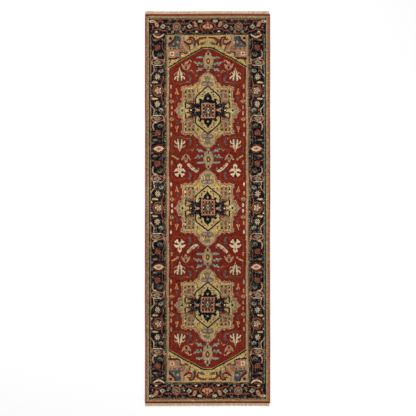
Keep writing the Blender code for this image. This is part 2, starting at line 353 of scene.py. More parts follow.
def draw_corner_square(pen):
    """The dotted square in each corner of a medallion."""
    pen.box(80, 143, 60, 127, "moss")
    pen.box(94, 131, 63, 114, "tan")
    pen.box(97, 128, 67, 112, "salmon")
    pen.box(103, 122, 75, 105, "moss")
    pen.spots((112, 90, 5, 10, "ink"), (112, 90, 3, 3.5, "gold"))
    for x, yarn in ((91, "ink"), (103, "sand"), (115, "ink"), (126, "pink")):
        pen.box(x - 4.6, x + 4.6, 116.5, 124.5, yarn)
    for y, yarn in ((114, "ink"), (101, "cream"), (88, "ink"), (77, "tan")):
        pen.box(134.5, 141.5, y - 5, y + 5, yarn)
    pen.spots(
        (84, 111, 3.2, 3.6, "pink"), (85, 99, 4.2, 6, "olive"), (86, 84, 3.2, 4, "straw"),
        (86, 72, 3.4, 4, "olive"), (96, 60, 5, 4, "tan"), (116, 60, 6, 3.4, "slate"),
    )
    pen.line([(82, 128), (140, 127)], 3, "brown")


def draw_side_lobe(pen):
    """The lobe on the side of a medallion, and the hooked frame beside the cross arm."""
    pen.fill([(153, 40), (160, 36), (170, 41), (174, 34), (184, 31), (187, 18), (195, 0), (150, 0)], "sage")
    pen.lines(
        ([(156, 30), (168, 38), (180, 32), (184, 16)], 3, "brown"),
        ([(160, 22), (168, 34), (180, 26)], 3.6, "orange"), ([(162, 18), (172, 30)], 3.4, "tan"),
    )
    pen.spot(176, 10, 5, 7, "leaf")
    pen.line([(186, 14), (180, 4), (186, 0)], 3.2, "salmon")
    pen.loop([(157, 17), (172, 0), (157, -17), (142, 0)], 5, "straw")
    pen.gem(157, 0, 10, 11, "sage")
    pen.gem(157, 0, 7.5, 9, "navy")
    # Dark hooked frame and the straw triangles
    pen.fill([(84, 0), (84, 58), (126, 58), (136, 48), (136, 0)], "brown")
    pen.fill([(84, 36), (84, 58), (100, 58), (106, 44), (98, 36)], "deep_red")
    pen.fill([(106, 58), (126, 58), (128, 50), (108, 48)], "moss")
    pen.lines(([(129, 62), (137, 50), (138, 16)], 5.6, "navy"), ([(142, 52), (142.5, 18)], 3, "slate"))
    pen.fill([(101, 28), (116, 33), (131, 47), (133, 14), (118, 21)], "straw")
    pen.spots((110, 40, 5, 3.6, "ink"), (125, 30, 3.4, 4, "gold"))
    pen.fill([(116, 0), (126, 6), (146, 16), (146, 0)], "straw")
    pen.line([(114, 12), (126, 14)], 3.4, "ink")
    pen.spots((121, 6, 3.2, 3.2, "cream"), (96, 50, 4, 3.6, "salmon"))


def draw_lozenge(pen):
    """The straw lozenge with its navy cross."""
    edge = four_quarters([(0, 160), (25, 138), (45, 120), (65, 103), (79, 88), (84.5, 73), (84.5, 36)])
    pen.bands(edge, ((0, "sky"), (2.2, "maroon"), (11, "straw")))
    quarter = pen.quarters()
    # Cross arms with their ragged ends
    quarter.fill([(0, 0), (97, 0), (99, 12), (106, 26), (104, 40), (95, 45), (86, 40), (74, 45), (60, 37),
                  (0, 46)], "navy")
    for x, y, yarn in ((86, 35, "deep_red"), (98, 40, "ink"), (94, 28, "brick"), (101, 33, "brown"),
                       (78, 38, "deep_red"), (70, 30, "blue"), (84, 20, "blue"), (92, 10, "blue")):
        quarter.spot(x, y, 3.2, 3.2, yarn)
    # Ogee towards each end, on a flared base
    quarter.fill([(0, 64), (24, 64), (32, 60), (38, 70), (47, 74), (57, 69), (61, 58), (56, 45), (62, 38),
                  (0, 40)], "navy")
    quarter.fill([(0, 119), (4, 109), (12, 99), (21, 90), (25, 79), (25, 70), (36, 58), (0, 58)], "navy")
    quarter.line([(37, 66), (31, 76), (30, 90), (18, 106), (0, 127)], 3.2, "sand")
    quarter.spots(
        (0, 73, 6.6, 7, "gold"), (0, 73, 3.4, 3.6, "orange"), (36, 97, 4.6, 4.8, "ink"),
        (38, 84, 4.4, 4.6, "ink"), (21, 112, 4.6, 4.6, "ink"), (46, 90, 3, 3, "moss"),
        (30, 108, 3, 3, "moss"),
    )
    # Straw hooks beside the base
    quarter.curve([(68, 80), (67, 64), (64, 54), (58, 50), (55, 56)], 7, "straw")
    quarter.spots((52, 78, 4, 6, "leaf"), (52, 78, 2.6, 4, "straw"), (6, 128, 3, 3, "gold"))
    sides = pen.both_sides()
    # Tulip in each arm, and the ringed white dot beyond it
    sides.fill([(55, 0), (64, 9), (72, 9), (79, 17), (83, 12), (77, 4), (80, 0), (77, -4), (83, -12),
                (79, -17), (72, -9), (64, -9)], "salmon")
    sides.spots(
        (60, 0, 9, 7, "gold"), (74, 0, 3.4, 4, "brick"), (106, 0, 11, 12, "ink"),
        (106, 0, 7.5, 8, "deep_red"), (106, 0, 4.4, 4.6, "ivory"),
    )


def draw_square(pen):
    """The chequered square at the heart of a medallion."""
    pen.box(-43, 43, -48, 48, "salmon")
    pen.box(-35, 35, -39, 39, "brown")
    for x in (-29, -10, 10, 29):
        for y in (-33, -12, 12, 33):
            if abs(x) > 12 or abs(y) > 14:
                pen.box(x - 4.8, x + 4.8, y - 5.2, y + 5.2, "ink")
    quarter = pen.quarters()
    quarter.spots(
        (29, 0, 3.4, 3.8, "cream"), (29, 22, 3.4, 3.8, "pink"), (0, 33, 3.6, 3.4, "gold"),
        (19, 33, 3.2, 3.2, "cream"), (17, 19, 4.5, 4.5, "rust"),
    )
    pen.gem(0, 0, 14, 20, "ink")
    pen.gem(0, 0, 11.5, 17, "sand")
    pen.gem(0, 0, 9.5, 14, "sky")
    pen.gem(0, 0, 6, 9, "olive")
    quarter.spot(0, 14, 3, 3.4, "ivory")


# ---------------------------------------------------------------- field

def draw_pole_motif(pen):
    """Serrated pole motif between the medallions. Its slanted arms are at the near end."""
    sides = pen.both_sides()
    # Straight arms, middle arms and slanted arms, each with knobs along it
    sides.lines(([(26, 20), (68, 21)], 8, "sky"), ([(34, 15), (58, 15)], 3, "teal"))
    for x, y, size in ((38, 23, 5.5), (50, 24, 6.5), (60, 23, 6), (68, 20, 5)):
        sides.spot(x, y, size, size - 0.8, "sky")
    sides.line([(28, -13), (42, -17), (68, -17)], 8, "teal")
    for x, y, yarn in ((42, -22, "sky"), (49, -14, "slate"), (57, -12, "sky"), (65, -24, "sky"),
                       (75, -12, "sky")):
        sides.spot(x, y, 6, 5.6, yarn)
    sides.lines(
        ([(70, -15), (86, -7)], 6.5, "sky"), ([(12, -43), (40, -48)], 8.5, "teal"),
        ([(40, -50), (56, -57), (68, -61)], 8.5, "sky"),
    )
    for x, y in ((44, -57), (57, -49), (68, -62)):
        sides.spot(x, y, 6.5, 5.4, "sky")
    sides.spot(25, -40, 4.5, 3.6, "slate")
    # Body
    pen.fill(mirrored([(0, 66), (7, 58), (12, 46), (19, 34), (28, 22), (32, 8), (31, -10), (26, -22),
                       (25, -38), (12, -46)]), "sage")
    pen.fill(mirrored([(0, 40), (8, 30), (10, 20), (22, 16), (27, 4), (25, -10), (14, -18), (9, -30),
                       (0, -35)]), "gold")
    sides.spots(
        (21, 8, 4.6, 7, "orange"), (19, -9, 5, 4.5, "straw"), (9, 24, 4, 5, "straw"),
        (17, 27, 6.8, 7.5, "sky"), (18, -28, 7, 11, "sky"), (13, 44, 4.4, 8.5, "sand"),
        (8, -46, 4.6, 6, "sand"),
    )
    pen.spots(
        (0, -18, 7, 7, "orange"), (0, 0, 13, 18, "ink"), (0, 0, 9, 13, "brown"), (0, 0, 5.4, 8.5, "pink"),
        (0, 45, 5.6, 11, "deep_red"),
    )
    pen.fill([(-6, -33), (6, -33), (4, -50), (0, -55), (-4, -50)], "brick")
    pen.spots((0, 61, 6, 5.5, "sky"), (0, -60, 8.5, 6.5, "sky"))


def draw_antler_flower(pen):
    """Cream flower with two pairs of drooping branches, pointing to the far end."""
    sides = pen.both_sides()
    pen.fill(mirrored([(0, 45), (4, 30), (9, 17), (9, -6)]), "sand")
    sides.line([(7, 16), (9, 0), (9, -12), (12, -24), (12, -37)], 7.6, "cream")
    sides.curve([(11, 4), (19, 10), (28, 6), (33, -3)], 5.4, "sand")
    sides.spot(15, 3, 4, 3.6, "cream")
    sides.curve([(12, -11), (20, -14), (29, -20), (31, -29)], 6.4, "cream")
    sides.spot(24, -24, 3.6, 3.4, "sand")
    pen.line([(0, 22), (0, -2)], 4.6, "vine")
    pen.fill(mirrored([(0, -4), (5, -14), (6, -40), (3, -50)]), "olive")


def draw_tall_antler_flower(pen):
    """The flower beside the middle medallion, which carries a second bud."""
    sides = pen.both_sides()
    pen.fill(mirrored([(0, 48), (5, 38), (13, 36), (13, 24), (9, 12)]), "cream")
    sides.fill([(6, 14), (20, 10), (30, 5), (38, -6), (32, -9), (20, -3), (10, -5), (5, -12)], "cream")
    sides.spot(21, 6, 6, 5, "ivory")
    pen.fill([(-7, 10), (7, 10), (6, -16), (-6, -16)], "cream")
    sides.fill([(4, -10), (14, -17), (29, -20), (31, -28), (20, -31), (17, -40), (10, -40), (9, -28),
                (3, -22)], "cream")
    sides.spots((24, -25, 5.5, 4.6, "ivory"), (13, -11, 5.5, 4, "deep_red"))
    pen.spots((0, 20, 5, 8, "rust"), (0, 2, 2.8, 5, "vine"), (0, -27, 7, 5, "olive"), (0, -35, 5, 8, "ink"))


def draw_salmon_palmette(pen):
    """Three-lobed salmon palmette over a dark eye, pointing to the far end."""
    sides = pen.both_sides()
    sides.fill([(0, -14), (10, -11), (19, -3), (24, 8), (30, 24), (22, 20), (17, 12), (13, 20), (10, 6),
                (0, 8)], "pink")
    sides.line([(10, -3), (20, 12)], 3.4, "salmon")
    pen.fill(mirrored([(0, 40), (8, 32), (10, 16), (4, 8)]), "salmon")
    pen.spots((0, 30, 4.6, 5.5, "pink"), (0, 20, 4.4, 5.5, "brown"))
    sides.spot(25, 20, 3.6, 4.4, "sand")
    pen.spots((0, -11, 9, 4, "sage"), (0, 0, 7.6, 9.5, "olive"), (0, 0, 5, 6.5, "ink"))


def draw_palmette_curl(pen):
    """Cream curl off the tip of a salmon palmette, turning to +X."""
    pen.curve([(6, 30), (12, 40), (20, 47), (28, 45), (31, 38)], 5.5, "sand")
    pen.spot(10, 35, 3.6, 4.5, "cream")


def draw_feather_leaf(pen):
    """Cream feather leaf that slopes in towards the medallion, with a hooked tip."""
    pen.lines(
        ([(-120, 272), (-105, 256), (-86, 240), (-68, 231)], 16, "cream"),
        ([(-116, 272), (-102, 256), (-84, 242), (-76, 237)], 5, "slate"),
    )
    pen.spots(
        (-98, 254, 5.5, 4.5, "olive"), (-80, 240, 5, 4, "leaf"), (-103, 266, 4.5, 4, "pink"),
        (-111, 256, 4, 4, "pink"), (-84, 249, 4, 4, "ivory"),
    )
    pen.curve([(-68, 229), (-58, 232), (-54, 240), (-59, 250)], 4.5, "sand")


def draw_crescent(pen):
    """Blue crescent whose hollow side, edged in tan, faces -X."""
    pen.curve([(-5, 22), (3, 10), (5, -3), (-1, -18)], 8, "blue")
    pen.spot(3, -2, 4, 8, "teal")
    pen.curve([(-8, 20), (-4, 7), (-4, -6), (-7, -16)], 4.2, "vine")
    pen.spot(-5, -19, 4, 4, "slate")


def draw_edge_column(pen, pale):
    """The small flowers between a medallion's side lobe and the edge of the field, on the -X side."""
    half = pen.both_ends()
    half.curve([(-194, 134), (-190, 122), (-188, 108), (-190, 100)], 5.5, "gold")
    half.lines(([(-195, 117), (-200, 103)], 4.5, "pink"), ([(-187, 112), (-181, 101)], 4.5, "pink"))
    half.spots(
        (-188, 79, 7, 7.5, "blue"), (-227, 92, 4.6, 13, "gold"), (-227, 100, 6, 4, "sand"),
        (-224, 56, 9.5, 13, "tan"), (-213, 57, 5, 5.5, "gold"), (-233, 57, 4, 4.5, "pink"),
        (-224, 56, 3.4, 4, "brown"), (-222, 18, 5.4, 11.5, pale), (-222, 18, 2.8, 4.5, "leaf"),
        (-227, 148, 6.4, 15, "sage"), (-227, 150, 4.6, 9, pale),
    )
    half.line([(-227, 74), (-226, 44)], 3, "vine")
    half.curve([(-206, 46), (-197, 60), (-184, 66)], 3, "vine")


def draw_field_flowers(pen, middles):
    """Everything on the red ground beside the medallions, whose centres run from far to near."""
    far, middle, near = middles
    for y, outer, inner in ((far, 225, 221), (near, 217, 232)):
        for reach, turn in ((outer, 1 if y > 0 else -1), (inner, -1 if y > 0 else 1)):
            side = pen.at(0, y, 1, turn).both_sides()
            draw_vines(side, reach)
            draw_antler_flower(side.at(-174, reach))
            draw_crescent(side.at(-109, 194))
            side.spot(-127, 177, 4.6, 4.6, "salmon")
            side.curve([(-127, 177), (-150, 172), (-172, 160)], 4, "vine")
            side.spot(-68, 217, 5, 5.5, "sage")
        draw_edge_column(pen.at(0, y).both_sides(), "sand")
    side = pen.at(0, middle).both_sides().both_ends()
    draw_vines(side, 232)
    draw_tall_antler_flower(side.at(-173, 234))
    draw_crescent(side.at(-109, 202))
    draw_feather_leaf(side)
    draw_edge_column(pen.at(0, middle).both_sides(), "ivory")


def draw_vines(pen, reach):
    """Thin brown tendrils around a flower, on the -X side."""
    pen.curves(
        ([(-222, reach + 44), (-223, reach), (-218, reach - 42), (-200, reach - 56)], 3, "vine"),
        ([(-200, reach - 56), (-160, reach - 54), (-128, reach - 46), (-116, reach - 52)], 3, "vine"),
        ([(-84, 166), (-78, 194), (-82, 222), (-102, 240), (-132, 248)], 3, "vine"),
        ([(-132, 176), (-126, 200), (-130, 226)], 3, "deep_red"),
        ([(-84, 222), (-66, 234), (-50, 232)], 3, "vine"),
    )


def draw_pole_flowers(pen, poles):
    """The flowers that go with each pole motif."""
    far, upper, lower, near = poles
    for y, turn in ((far, 1), (near, -1)):
        side = pen.at(0, y, 1, turn).both_sides()
        side.curve([(-120, -54), (-128, -84), (-116, -104)], 3, "vine")
        draw_salmon_palmette(side.at(-133, -43))
        draw_palmette_curl(side.at(-133, -43))
        side.line([(-111, -66), (-98, -58), (-84, -74)], 5, "salmon")
        side.spots((-98, -60, 4, 3.4, "pink"), (-124, -66, 3.4, 3, "vine"))
    for y, turn in ((upper, -1), (lower, 1)):
        side = pen.at(0, y, 1, turn).both_sides()
        side.curves(
            ([(-228, 20), (-222, 80), (-224, 110)], 3, "vine"),
            ([(-222, -22), (-218, -40), (-220, -60)], 3, "vine"),
            ([(-134, -28), (-132, -50), (-112, -60)], 3, "vine"),
        )
        draw_salmon_palmette(side.at(-135, -17))
        side.lines(
            ([(-105, -60), (-97, -52), (-86, -66)], 5, "salmon"),
            ([(-220, -20), (-208, -16), (-196, -7)], 8.5, "straw"),
        )
        side.spots(
            (-186, 1, 8.5, 7, "sage"), (-186, -4, 4, 3.4, "pink"), (-223, 18, 4.6, 11, "gold"),
            (-223, 29, 9, 4, "salmon"),
        )


# ---------------------------------------------------------------- spandrels

SPANDREL_LINE = [
    (0, -69), (25, -70), (38, -75), (62, -89), (100, -111), (135, -129), (165, -145), (200, -167),
    (240.5, -190),
]


def draw_spandrel(pen):
    """The corners at one end of the field. The origin is at the middle of the field's end."""
    line = [(-x, y) for x, y in reversed(SPANDREL_LINE[1:])] + SPANDREL_LINE
    pen.fill([(-244, 4), *[(x, y - 12) for x, y in line], (244, 4)], "brown")
    pen.fill([(-244, 4), *[(x, y - 8) for x, y in line], (244, 4)], "buff")
    pen.fill([(-244, 4), *line, (244, 4)], "straw")
    sides = pen.both_sides()
    draw_spandrel_corner(sides)
    draw_spandrel_heart(sides)
    pen.line(line, 8, "ink")
    sides.spots((40, -74, 5.5, 4, "ink"), (101, -107, 5.5, 5, "ink"), (206, -168, 6, 5, "ink"))
    sides.line([(232, -143), (235, -164)], 7, "ink")


def draw_spandrel_corner(pen):
    """The stepped flower quarter that fills each corner."""
    # Salmon bar that turns down into the leaning stripe
    pen.fill([(147, 3), (168, 3), (168, -30), (160, -48), (146, -62), (140, -88), (112, -90), (114, -72),
              (124, -54), (142, -38)], "salmon")
    pen.line([(128, -54), (120, -68), (118, -84)], 4, "pink")
    pen.spot(133, -60, 4, 6, "vine")
    pen.lines(
        ([(158, 2), (157, -36), (140, -58), (132, -84)], 5, "pink"), ([(146, 2), (146, -34)], 3.4, "slate"),
        ([(149, -40), (130, -60), (119, -82)], 3.6, "slate"),
    )
    # Blue quarter flower with its diagonal stripes
    pen.box(168, 243, -66, 3, "blue")
    pen.fill([(168, 3), (168, -8), (178, -4), (184, 3)], "teal")
    pen.fill([(192, 3), (200, -22), (214, -38), (236, -54), (243, -58), (243, 3)], "deep_red")
    pen.fill([(206, 3), (211, -16), (228, -30), (243, -40), (243, 3)], "sand")
    pen.line([(212, -2), (218, -16), (242, -31)], 4, "sage")
    pen.fill([(218, 3), (220, -12), (243, -26), (243, 3)], "tan")
    pen.box(222, 239, -20, -3, "deep_red")
    pen.box(226, 235, -15, -7, "ink")
    pen.spots(
        (185, -37, 8.5, 8, "orange"), (186, -37, 4.5, 4.5, "pink"), (211, -49, 5, 6.5, "buff"),
        (206, -34, 3.4, 5, "leaf"), (182, -10, 4, 4, "navy"), (226, -58, 6, 4, "slate"),
    )
    # Speckled row under the blue flower
    pen.box(168, 243, -84, -66, "salmon")
    for x, yarn in ((238, "tan"), (229, "brown"), (219, "buff"), (209, "olive"), (199, "rust"), (189, "tan"),
                    (178, "olive"), (169, "vine")):
        pen.spot(x, -75, 5, 6.5, yarn)
    pen.fill([(168, -50), (168, -86), (138, -88), (150, -66), (160, -56)], "salmon")
    for x, y, yarn in ((152, -66, "brown"), (160, -60, "olive"), (146, -78, "olive"), (158, -76, "rust"),
                       (166, -70, "tan"), (150, -86, "rust"), (164, -84, "brown")):
        pen.spot(x, y, 4, 4.4, yarn)
    # Salmon foot with two squares
    pen.fill([(243, -84), (243, -130), (182, -130), (176, -112), (182, -98), (168, -86), (140, -82),
              (140, -90), (168, -84)], "salmon")
    pen.line([(184, -90), (206, -91)], 4, "pink")
    pen.box(204, 235, -123, -93, "pink")
    pen.box(208, 231, -119, -97, "cream")
    pen.spots((219.5, -108, 6.4, 7, "ink"), (219.5, -108, 3, 3.4, "leaf"))
    pen.box(180, 196, -125, -101, "tan")
    pen.spot(188, -113, 5, 8, "slate")
    pen.line([(240, -92), (240, -126)], 4, "sand")
    # Slate and dark red stems at the foot
    pen.curve([(120, -94), (134, -98), (148, -90), (164, -88), (175, -96), (174, -112),
               (178, -128)], 5.6, "slate")
    pen.curve([(126, -100), (138, -109), (148, -100), (162, -100)], 9, "brick")
    pen.spot(165, -101, 8, 6, "deep_red")
    pen.line([(168, -104), (168, -128)], 6, "deep_red")
    pen.fill([(172, -131), (243, -131), (243, -138), (184, -139)], "deep_red")
    pen.line([(166, -128), (182, -138), (242, -141)], 5, "ink")


def draw_spandrel_heart(pen):
    """The scrolls and the palmette in the middle of a spandrel."""
    pen.line([(143, -36), (126, -50), (112, -68), (107, -90)], 9, "brick")
    pen.curves(
        ([(144, -34), (126, -44), (110, -50), (99, -43)], 11, "deep_red"),
        ([(99, -46), (96, -28), (104, -20), (122, -21)], 11, "brick"),
        ([(80, -30), (86, -13), (98, -7), (114, -9)], 12, "deep_red"),
    )
    pen.spots((96, -12, 5, 3.6, "rust"), (110, -34, 8, 6, "sage"), (110, -34, 4, 3.4, "sky"))
    pen.fill([(66, -28), (93, -28), (93, -58), (84, -68), (73, -60)], "slate")
    pen.line([(79, -30), (79, -60)], 10, "deep_red")
    pen.curves(
        ([(80, -62), (83, -75), (94, -82), (106, -84)], 5, "slate"),
        ([(41, -10), (54, -18), (61, -34), (56, -51)], 12.5, "deep_red"),
        ([(46, -13), (55, -22), (59, -34)], 4, "rust"),
    )
    pen.lines(([(50, -12), (66, -24), (75, -38)], 11, "brick"), ([(11, -8), (40, -9)], 11.5, "brick"))
    pen.fill([(10, -34), (22, -32), (44, -36), (53, -50), (38, -58), (22, -50)], "moss")
    pen.spots(
        (34, -45, 10, 7, "olive"), (40, -48, 5, 4, "blue"), (70, -9, 6, 5.5, "sage"),
        (22, -24, 4, 3, "gold"), (122, -10, 6, 4, "gold"), (0, -22, 4, 7, "gold"),
    )
    pen.lines(
        ([(0, -40), (8, -58)], 3.2, "buff"), ([(60, -60), (66, -74)], 3.2, "buff"),
        ([(92, -96), (118, -108)], 3.2, "buff"), ([(136, -118), (158, -130)], 3.2, "buff"),
        ([(182, -148), (222, -162)], 3.2, "gold"),
    )


# ---------------------------------------------------------------- borders

def draw_border_rosette(pen):
    """Large octagonal rosette of the side border. +X points to the field."""
    ring = [(-33, 0), (-25, 14), (-17, 30), (0, 36), (17, 33), (25, 20), (34, 0), (25, -20), (17, -32),
            (0, -37), (-18, -29), (-25, -14)]
    pen.lines(([(-48, 1), (-33, 0)], 4.5, "vine"), ([(33, 0), (48, 0)], 7, "rust"))
    pen.loop(ring, 6.4, "rust")
    pen.loop([(0.84 * x, 0.86 * y) for x, y in ring], 3, "brown")
    pen.spot(1, 0, 23, 26, "ink")
    petals = ("sky", "cream", "blue", "pink")
    for turn in range(10):
        angle = math.pi / 5 * turn
        pen.spot(1 + 17 * math.cos(angle), 19 * math.sin(angle), 4.6, 5, petals[turn % 4])
    pen.spot(1, 0, 12.5, 14, "pink")
    for turn in range(6):
        angle = math.pi / 3 * turn
        pen.spot(1 + 8 * math.cos(angle), 9 * math.sin(angle), 3.4, 3.6, "orange" if turn % 2 else "cream")
    pen.spots((1, 0, 5.6, 6, "rust"), (2, 2, 3, 3, "orange"))


def draw_border_lozenge(pen):
    """Cream eye-shaped palmette of the side border in its red frame."""
    pen.fill([(-44, 0), (-30, 10), (-22, 20), (-4, 27), (10, 27), (26, 20), (34, 10), (44, 0), (34, -10),
              (26, -20), (10, -27), (-4, -27), (-22, -20), (-30, -10)], "brick")
    pen.spot(2, 0, 32, 22, "deep_red")
    pen.fill([(-31, 0), (-16, 12), (2, 18), (20, 12), (34, 0), (20, -12), (2, -18), (-16, -12)], "cream")
    pen.fill([(-19, 0), (-10, 8), (2, 12), (14, 8), (22, 0), (14, -8), (2, -12), (-10, -8)], "pink")
    pen.spots((2, 0, 12, 6.5, "orange"), (2, 0, 5, 3.5, "rust"))


def draw_border_palmette(pen):
    """Wide palmette of the side border, its crown towards the near end."""
    edge = [(-42, 4), (-33, 13), (-26, 16), (-10, 19), (6, 17), (20, 19), (32, 12), (40, 0), (44, -26),
            (36, -18), (28, -12), (20, -18), (8, -19), (-4, -25), (-16, -19), (-30, -20), (-36, -10)]
    pen.fill(edge, "navy")
    pen.fill([(-22, 8), (-4, 12), (14, 8), (18, -6), (4, -14), (-12, -13), (-22, -6)], "tan")
    pen.loop(edge, 5.2, "salmon")
    pen.lines(
        ([(-30, 15), (-10, 19), (6, 17), (22, 18)], 3.4, "cream"),
        ([(-30, -19), (-16, -19), (-4, -24)], 3.4, "pink"), ([(36, -2), (43, -24)], 4.4, "pink"),
    )
    pen.spots(
        (-10, 1, 6, 6.5, "slate"), (9, 1, 5, 6.5, "slate"), (-1, -1, 3.4, 6.5, "brown"),
        (-24, 0, 4, 6, "salmon"), (24, 0, 4, 7, "brick"), (-3, -17, 5, 3.4, "sage"),
        (-36, 2, 3.6, 4, "pink"),
    )


def draw_star_flower(pen):
    """Small cream star of eight petals."""
    for turn in range(8):
        angle = math.pi / 4 * (turn + 0.5)
        x, y = math.cos(angle), math.sin(angle)
        pen.line([(-2 + 6 * x, 6 * y), (-2 + 14 * x, 15 * y)], 5.8, "cream")
        pen.spot(-2 + 10 * x, 10 * y, 3, 3, "sand" if turn % 2 else "pink")
    pen.spots((-2, 0, 5.5, 6, "tan"), (-2, 0, 3.4, 3.6, "vine"))


def draw_rust_rosette(pen):
    """Carnation of the side border, with petals around a dark eye."""
    for turn in range(7):
        angle = 2 * math.pi / 7 * turn + 0.2
        pen.spot(13 * math.cos(angle), 14 * math.sin(angle), 6.4, 6.4, "brick" if turn % 2 else "rust")
    pen.spots(
        (0, 0, 11.5, 12, "brown"), (0, 0, 9, 9.5, "rust"), (0, 0, 4.6, 5, "ink"), (0, 0, 2.8, 3, "salmon"),
        (-12, 12, 3.2, 3.2, "slate"), (13, -10, 3.2, 3.2, "salmon"),
    )


def draw_side_unit(pen):
    """Half a repeat of the side border, from the rosette at the origin to the lozenge at -Y.

    -X is the rug's outer edge and +X its field."""
    # Rust vine along the field side, pale vine along the outer side
    pen.curves(
        ([(24, 40), (24, 24)], 5, "rust"),
        ([(23, -24), (22, -44), (26, -56), (33, -72), (32, -88), (28, -94)], 5.2, "rust"),
    )
    pen.spot(33, -84, 3.4, 7, "salmon")
    pen.curves(
        ([(29, -94), (38, -112), (34, -136), (40, -156)], 4, "brown"),
        ([(44, -204), (36, -222), (42, -244), (32, -262), (26, -284), (30, -304), (27, -330)], 4.4, "rust"),
        ([(38, -244), (44, -266), (40, -290)], 3.4, "brown"),
        ([(-46, -90), (-36, -106), (-26, -116), (-24, -132), (-28, -160)], 5.4, "sand"),
        ([(-45, -40), (-44, -62), (-47, -88)], 3.4, "brown"),
        ([(-44, 30), (-36, 20), (-45, 8)], 3.6, "brown"), ([(-6, -66), (10, -70), (20, -80)], 3.6, "brown"),
        ([(-20, -108), (-4, -108), (14, -114)], 3.6, "brown"),
        ([(-44, -196), (-40, -214), (-45, -232)], 3.6, "brown"),
    )
    pen.spots((-40, -29, 5, 5, "tan"), (-40, -34, 4.6, 3.6, "cream"))
    # Bud, star, tulip and palmette
    pen.fill([(-38, -48), (-24, -44), (-12, -46), (2, -52), (-10, -60), (-28, -60), (-36, -55)], "straw")
    pen.lines(([(-30, -47), (-12, -47)], 3.2, "rust"), ([(-28, -55), (-4, -53)], 3.4, "cream"))
    pen.spots((-17, -59, 8, 2.8, "vine"), (9, -50, 4, 4, "indigo"))
    draw_star_flower(pen.at(-1, -87))
    pen.spot(-12, -126, 6, 8, "rust")
    pen.fill([(2, -124), (8, -116), (18, -112), (32, -117), (36, -127), (26, -137), (12, -135)], "slate")
    pen.spots(
        (8, -124, 5, 5, "sky"), (19, -118, 5, 4, "sand"), (28, -124, 4.4, 5, "tan"),
        (18, -128, 5, 4, "ink"), (27, -132, 3.4, 3.4, "pink"), (-12, -146, 6, 4.5, "teal"),
        (14, -150, 7, 4.6, "brown"),
    )
    draw_border_palmette(pen.at(-1, -178))
    # Scroll and dark leaf above the rust rosette
    pen.curve([(-10, -208), (-20, -206), (-31, -218), (-33, -236), (-28, -252)], 7.4, "pink")
    pen.spots(
        (-18, -206, 7, 5, "cream"), (-29, -248, 4.6, 5, "salmon"), (11, -227, 16, 13, "brown"),
        (10, -229, 12, 9, "teal"), (10, -232, 8, 5, "ink"),
    )
    pen.curve([(0, -226), (12, -217), (25, -225), (29, -240)], 4.4, "moss")
    draw_rust_rosette(pen.at(-3, -272))
    pen.curve([(-44, -262), (-41, -280), (-45, -296)], 3.4, "brown")
    pen.line([(-38, -294), (-24, -288)], 3.4, "tan")
    pen.fill([(-34, -312), (-8, -312), (2, -318), (-6, -326), (-30, -326)], "vine")
    pen.spots(
        (-20, -318, 9, 3.6, "tan"), (12, -300, 6, 5, "brown"), (10, -324, 6, 5, "brown"),
        (-36, -338, 7, 6, "slate"), (40, -318, 5, 7, "slate"), (-20, -30, 4, 3.4, "vine"),
    )


def draw_side_borders(pen, reach):
    """Rosettes and lozenges in turn along both side borders, whose navy ground ends at reach."""
    sides = pen.at(-SIDE_BORDER_AXIS, SIDE_BORDER_MIDDLE).both_long_sides()
    for rosette, towards, length in (
        (730, 1, 352), (730, -1, 363), (0, 1, 368), (0, -1, 370), (-723, 1, 354), (-723, -1, 365),
    ):
        draw_side_unit(sides.at(0, rosette, 1, towards * length / SIDE_UNIT))
    for lozenge in (368, -370):
        draw_border_lozenge(sides.at(3, lozenge))
    for rosette in (730, 0, -723):
        draw_border_rosette(sides.at(1, rosette))
    for end, turn in ((reach, 1), (-reach, -1)):
        last = pen.at(-SIDE_BORDER_AXIS, end, 1, turn).both_long_sides()
        last.box(-42, 44, -20, 0, "navy")
        last.curves(
            ([(-26, -3), (-12, -13), (8, -16), (26, -10), (36, -1)], 7, "cream"),
            ([(-12, -8), (6, -10), (22, -5)], 3.4, "salmon"),
            ([(-16, -24), (0, -29), (20, -24)], 6, "brick"),
        )
        last.spot(2, -22, 8, 4, "salmon")
        last.curve([(-38, -10), (-34, -26), (-22, -34)], 3.5, "vine")
        last.spot(28, -30, 4.5, 4.5, "tan")


